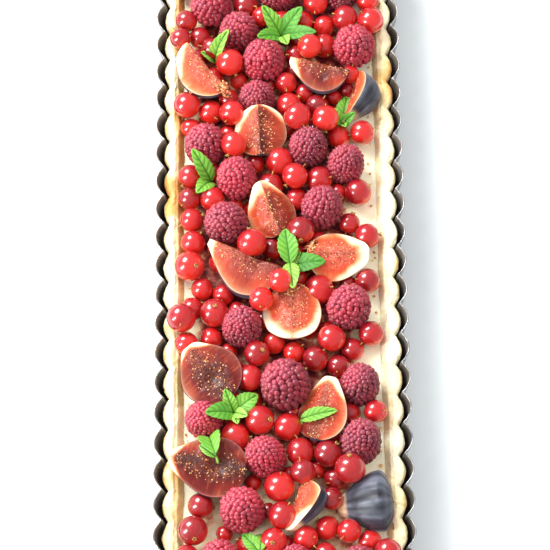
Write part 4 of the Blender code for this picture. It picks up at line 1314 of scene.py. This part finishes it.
def make_currants(node):
    """All currants of one heap in one piece, each turned its own way."""
    draw = np.random.default_rng(sum(map(ord, node)))
    parts, kinds, places, ripeness, painted_glow = [], [], [], [], []
    for _, centre, radius in [ball for ball in currants if ball[0] == node]:
        turn = frame_around(flower_direction(centre, radius, draw), draw.uniform(0, math.tau))
        middle = np.array(centre)
        flower_points, flower_faces = tuft(draw)
        stub_points, stub_faces = stub(draw)
        flower_points += (0, 0, POLE * radius)
        stub_points = stub_points * (1, 1, -1) - (0, 0, POLE * radius)
        parts.append((middle + (BALL_POINTS * radius) @ turn.T, BALL_FACES))
        parts.append((middle + flower_points @ turn.T, flower_faces))
        parts.append((middle + stub_points @ turn.T, [face[::-1] for face in stub_faces]))
        kinds += [0] * len(BALL_FACES) + [1] * (len(flower_faces) + len(stub_faces))
        places.append(np.concatenate([BALL_POINTS, flower_points * 0, stub_points * 0]))
        ripe = draw.uniform(0.05, 0.78)
        ripeness.append(np.full(len(places[-1]), ripe))
        painted_glow.append(np.zeros(len(places[-1])))
        # Painted glow: high on the side away from the window, low on the window's side, and a little lower in
        # riper currants.
        painted_glow[-1][: len(BALL_POINTS)] = (BALL_POINTS @ turn.T) @ FROM_WINDOW - 0.25 * (ripe - 0.4)
    points, faces = stack_up(parts)
    values = {
        "ball_place": np.concatenate(places), "ripeness": np.concatenate(ripeness),
        "painted_glow": np.concatenate(painted_glow),
    }
    piece = make_piece(f"{node}_beads", points, faces, [clear_skin, dried_flower], kinds, values)
    if node in CURRANT_NODES:
        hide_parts(node)
    return piece


heaps = [make_currants(node) for node in CURRANT_NODES + ["redcurrants_between"]]
print("currant heaps:", sum(len(piece.data.polygons) for piece in heaps), "faces")

# %% [markdown]
# ## Mint
# Mint leaves are oval with toothed edges and a quilted face: the blade puffs up between sunken veins. Each
# leaf is a grid whose edge takes the teeth and whose height takes the quilting, then it is folded along its
# midrib and bent like a bow between the point it grows from and the point its tip reaches.

# %% Finish of the mint
fresh_leaf, add, shader = new_finish(
    "fresh_mint_leaf", Roughness=0.52, Subsurface_Weight=0.30, Subsurface_Scale=0.0012,
    Specular_IOR_Level=0.4, Subsurface_Radius=(0.5, 1.0, 0.25),
)
groove = add("Attribute", attribute_name="groove").outputs["Fac"]
youth = add("Attribute", attribute_name="youth").outputs["Fac"]
place = add("NewGeometry")
green = add("ValToRGB", {"Fac": youth}, stops=(
    (0.0, "#3C782A"), (0.4, "#569632"), (0.75, "#7CB442"), (1.0, "#A4D05C"),
))
fleck = add("TexNoise", {"Vector": place, "Scale": 900.0, "Detail": 2.0})
shade = add("Math", (fleck, 0.35, -0.1), operation="MULTIPLY_ADD")
sunk = add("Math", (groove, shade), operation="ADD")
leaf = add("Mix", {0: sunk, 6: green, 7: colour("#34701F")}, data_type="RGBA")
bump = add("Bump", {"Height": fleck, "Strength": 0.25, "Distance": 0.0003})
fill(shader, {"Base Color": leaf, "Normal": bump})

# %% Leaves and sprigs
LEAF_ROWS = 40
LEAF_COLUMNS = 21
LEAF_THICKNESS = 0.28
LEAF_CLEARANCE = 0.2
MOST_LIFT = 4.0  # the most that a leaf is raised off the fruit
STALK_RINGS = 6
STALK_SIDES = 8
large_fruit = search_tree(*RASPBERRY_NODES, *FIG_NODES)[0]
# Each sprig: where it grows from, then its leaves. A leaf has its tip's x and y and height over the fruit
# there, then its width, its fold in degrees, its bow and its youth.
MINT = {
    "mint_star": ((1.7, 115.5, 2), (
        (-6.4, 125.6, 1.8, 8.2, 18, 1.6, 0.75), (11.4, 126.2, 1.8, 8.6, 14, 1.6, 0.45),
        (17.6, 113, 1.6, 7.6, 14, 1.2, 0.30), (-8.6, 108.8, 1.6, 8.4, 14, 1.4, 0.55),
        (4.6, 107.8, 3, 7, 12, 1.6, 1),
    )),
    "mint_curl": ((-28, 103.6, 1.5), (
        (-21, 112.3, 1.2, 8, 30, 3, 0.85), (-34, 105.6, 0.8, 5.2, 20, 1.2, 0.9),
    )),
    "mint_sprig_right": ((28, 70.8, 1.5), (
        (30.4, 84.4, 2, 8.4, 22, 1.8, 0.6), (22.8, 77, 1, 5.2, 16, 1, 0.8), (33.8, 74, 1.2, 5.8, 16, 1, 0.5),
        (29.4, 66.6, 0.8, 4.2, 16, 0.8, 0.9),
    )),
    "mint_pair": ((-30, 46, 1), (
        (-37.6, 56.4, 1.5, 8.4, 20, 2, 0.7), (-35.8, 37.4, 1, 8.2, 16, 1.6, 0.75),
    )),
    "mint_tall": ((4.2, 4, 2), (
        (2.4, 19.4, 2.6, 10, 20, 1.8, 0.6), (19.4, 4.2, 1.8, 9.4, 16, 1.8, 0.25),
        (5.4, -9.8, 1.2, 8, 16, 1.4, 0.95), (8.8, 9.2, 2.8, 4, 14, 0.6, 1),
    )),
    "mint_cross": ((-20.5, -60.7, 2), (
        (-32, -62.8, 1.6, 9, 16, 1.8, 0.55), (-10.2, -53.2, 1.8, 9.4, 16, 2, 0.65),
        (-23.8, -52, 1.4, 6.4, 16, 1.2, 0.75), (-14.4, -63.8, 1.6, 5.6, 12, 1, 0.95),
        (-18.6, -66.6, 1.2, 4.6, 12, 0.8, 0.9),
    )),
    "mint_single": ((7.6, -64.2, 1.2), (
        (23, -62.4, 1.4, 7, 30, 1.6, 0.75),
    )),
    "mint_hood": ((-27.6, -81, 1.4), (
        (-31, -70.6, 1.2, 12, 34, 3, 0.7), (-34.6, -75.6, 0.9, 4.4, 14, 0.8, 0.8),
    )),
    "mint_low": ((-9.7, -120.6, 1), (
        (-17.2, -112.4, 1.4, 6.8, 16, 1.4, 0.7), (-9.2, -112, 1.4, 6.2, 16, 1.4, 0.8),
    )),
}


def top_of_fruit(x, y):
    """Height of whatever lies uppermost under a point."""
    below = height_under(large_fruit, x, y)
    heights = [cream_high[2] if below is None else below]
    for _, centre, radius in currants:
        beside = (centre.x - x) ** 2 + (centre.y - y) ** 2
        if beside < radius**2:
            heights.append(centre.z + math.sqrt(radius**2 - beside))
    return max(heights)


def rest_on_fruit(points):
    """Lifts a leaf as a whole until all but a few of its points are clear of the fruit."""
    short = np.array([top_of_fruit(x, y) + LEAF_CLEARANCE - z for x, y, z in points])
    points[:, 2] += np.clip(np.percentile(short, 96), 0, MOST_LIFT)
    return points


def make_leaf(root, tip, width, fold, bow):
    """Points, faces and vein depth of one leaf between two points, a closed blade with a thin edge."""
    root, tip = np.array(root), np.array(tip)
    length = np.linalg.norm(tip - root)
    along, across = np.meshgrid(np.linspace(0, 1, LEAF_ROWS), np.linspace(-1, 1, LEAF_COLUMNS), indexing="ij")
    outline = (np.sin(math.pi * along**0.86) ** 0.62 * 0.95 + 0.05 * (1 - along)) * width / 2
    scallops = 1 - np.abs(np.sin(math.pi * 8 * along))
    outline = outline * (1 - 0.10 * scallops * np.abs(across) ** 3)
    reach = across * outline
    side_veins = (along * 6.0 - 1.425 * np.abs(across)) % 1.0
    rib = np.exp(-((np.abs(reach) / 0.30) ** 2))
    vein = np.exp(-((np.minimum(side_veins, 1 - side_veins) / 0.13) ** 2)) * ease(np.abs(across), 0.02, 0.15)
    groove = np.maximum(rib, 0.75 * vein) * ease(-along, -1.0, -0.9)
    puff = 0.55 * (1 - groove) * (1 - across**2) * min(1.0, width / 8.0)
    slant = math.radians(fold)
    lift = np.abs(reach) * math.sin(slant) + puff + bow * np.sin(math.pi * along)
    direction = (tip - root) / length
    side = np.cross(direction, (0, 0, 1.0))
    side /= np.linalg.norm(side)
    up = np.cross(side, direction)
    top = (
        root + (along[..., None] * length) * direction + (reach * math.cos(slant))[..., None] * side
        + lift[..., None] * up
    )
    top = top.reshape(-1, 3)
    under = top - up * LEAF_THICKNESS * (0.25 + 0.75 * (1 - across.ravel() ** 6))[:, None]
    count = len(top)
    faces = grid_faces(LEAF_ROWS, LEAF_COLUMNS)
    faces += [[index + count for index in face[::-1]] for face in faces]
    rim = grid_border(LEAF_ROWS, LEAF_COLUMNS)
    faces += [[b, a, a + count, b + count] for a, b in zip(rim, rim[1:] + rim[:1])]
    return np.concatenate([top, under]), faces, np.tile(groove.ravel(), 2)


def make_stalk(start, end, thickness):
    """A short bent stalk between two points."""
    start, end = np.array(start), np.array(end)
    axes = frame_around(end - start)
    points = []
    for share in np.linspace(0, 1, STALK_RINGS):
        centre = start + (end - start) * share + np.array([0, 0, 0.5]) * math.sin(math.pi * share)
        reach = thickness * (1 - 0.3 * share) / 2
        for angle in angles_round(STALK_SIDES):
            points.append(
                centre + axes[:, 0] * math.cos(angle) * reach + axes[:, 1] * math.sin(angle) * reach
            )
    return np.array(points), tube_faces(STALK_RINGS, STALK_SIDES)


def make_sprig(name, root, leaves):
    """A sprig: its leaves and the cut end of its stalk, lying on the fruit."""
    x, y, over = root
    base = (x, y, top_of_fruit(x, y) + over)
    parts, groove, youth = [], [], []
    for tip_x, tip_y, tip_over, width, fold, bow, young in leaves:
        tip = (tip_x, tip_y, top_of_fruit(tip_x, tip_y) + tip_over)
        points, faces, veins = make_leaf(base, tip, width, fold, bow)
        points = rest_on_fruit(points)
        parts.append((points, faces))
        groove.append(veins)
        youth.append(np.full(len(points), young) + 0.12 * waves(points, 4.0, 50))
    stalk = make_stalk((x + 0.8, y - 2.4, base[2] - 1.4), base, 1.1)
    parts.append(stalk)
    groove.append(np.zeros(len(stalk[0])))
    youth.append(np.full(len(stalk[0]), 0.9))
    points, faces = stack_up(parts)
    values = {"groove": np.concatenate(groove), "youth": np.concatenate(youth)}
    piece = make_piece(name, points, faces, [fresh_leaf], values=values)
    return piece


sprigs = [make_sprig(name, root, leaves) for name, (root, leaves) in MINT.items()]
print("mint:", len(sprigs), "sprigs,", sum(len(piece.data.polygons) for piece in sprigs), "faces")

# %% [markdown]
# ## Crumbs
# Cutting and handling shed crumbs of crust, which lie along the foot of the rim and here and there on the
# cream. They borrow the seeds' twenty-sided lump, roughened, and the finish of the crust.

# %% Crumbs of crust
CRUMBS = 110
CRUMB_SIZES = (0.35, 0.95)
FROM_FRUIT = 0.6  # crumbs lie at least this far from it


def make_crumbs():
    """Small jagged crumbs that rest on the cream near the crust."""
    draw = np.random.default_rng(77)
    parts = []
    while len(parts) < CRUMBS:
        side = draw.choice((-1, 1))
        x = side * (cream_high[0] - abs(draw.normal(0, 1.3)) - 0.6)
        y = draw.uniform(cream_low[1] + 2, cream_high[1] - 2)
        size = draw.uniform(*CRUMB_SIZES)
        if fruit_tree.find_nearest(Vector((x, y, cream_high[2] + 0.5)))[3] < FROM_FRUIT:
            continue
        lump = SEED_POINTS / SEED_SIZE * (1, draw.uniform(0.7, 1), draw.uniform(0.6, 0.9)) * size
        lump = lump * draw.uniform(0.75, 1.2, (len(lump), 1))
        turn = frame_around(draw.normal(0, 1, 3), draw.uniform(0, math.tau))
        parts.append((lump @ turn.T + (x, y, cream_high[2] + 0.1 + 0.5 * size), SEED_FACES))
    points, faces = stack_up(parts)
    shade = np.repeat(draw.uniform(0.2, 0.85, CRUMBS), len(SEED_POINTS))
    crumbs = make_piece(
        "crust_crumbs", points, faces, [baked_crumb], values={"browning_and_shade": shade}, smooth=False
    )
    return crumbs


crumbs = make_crumbs()
print("crumbs:", CRUMBS)
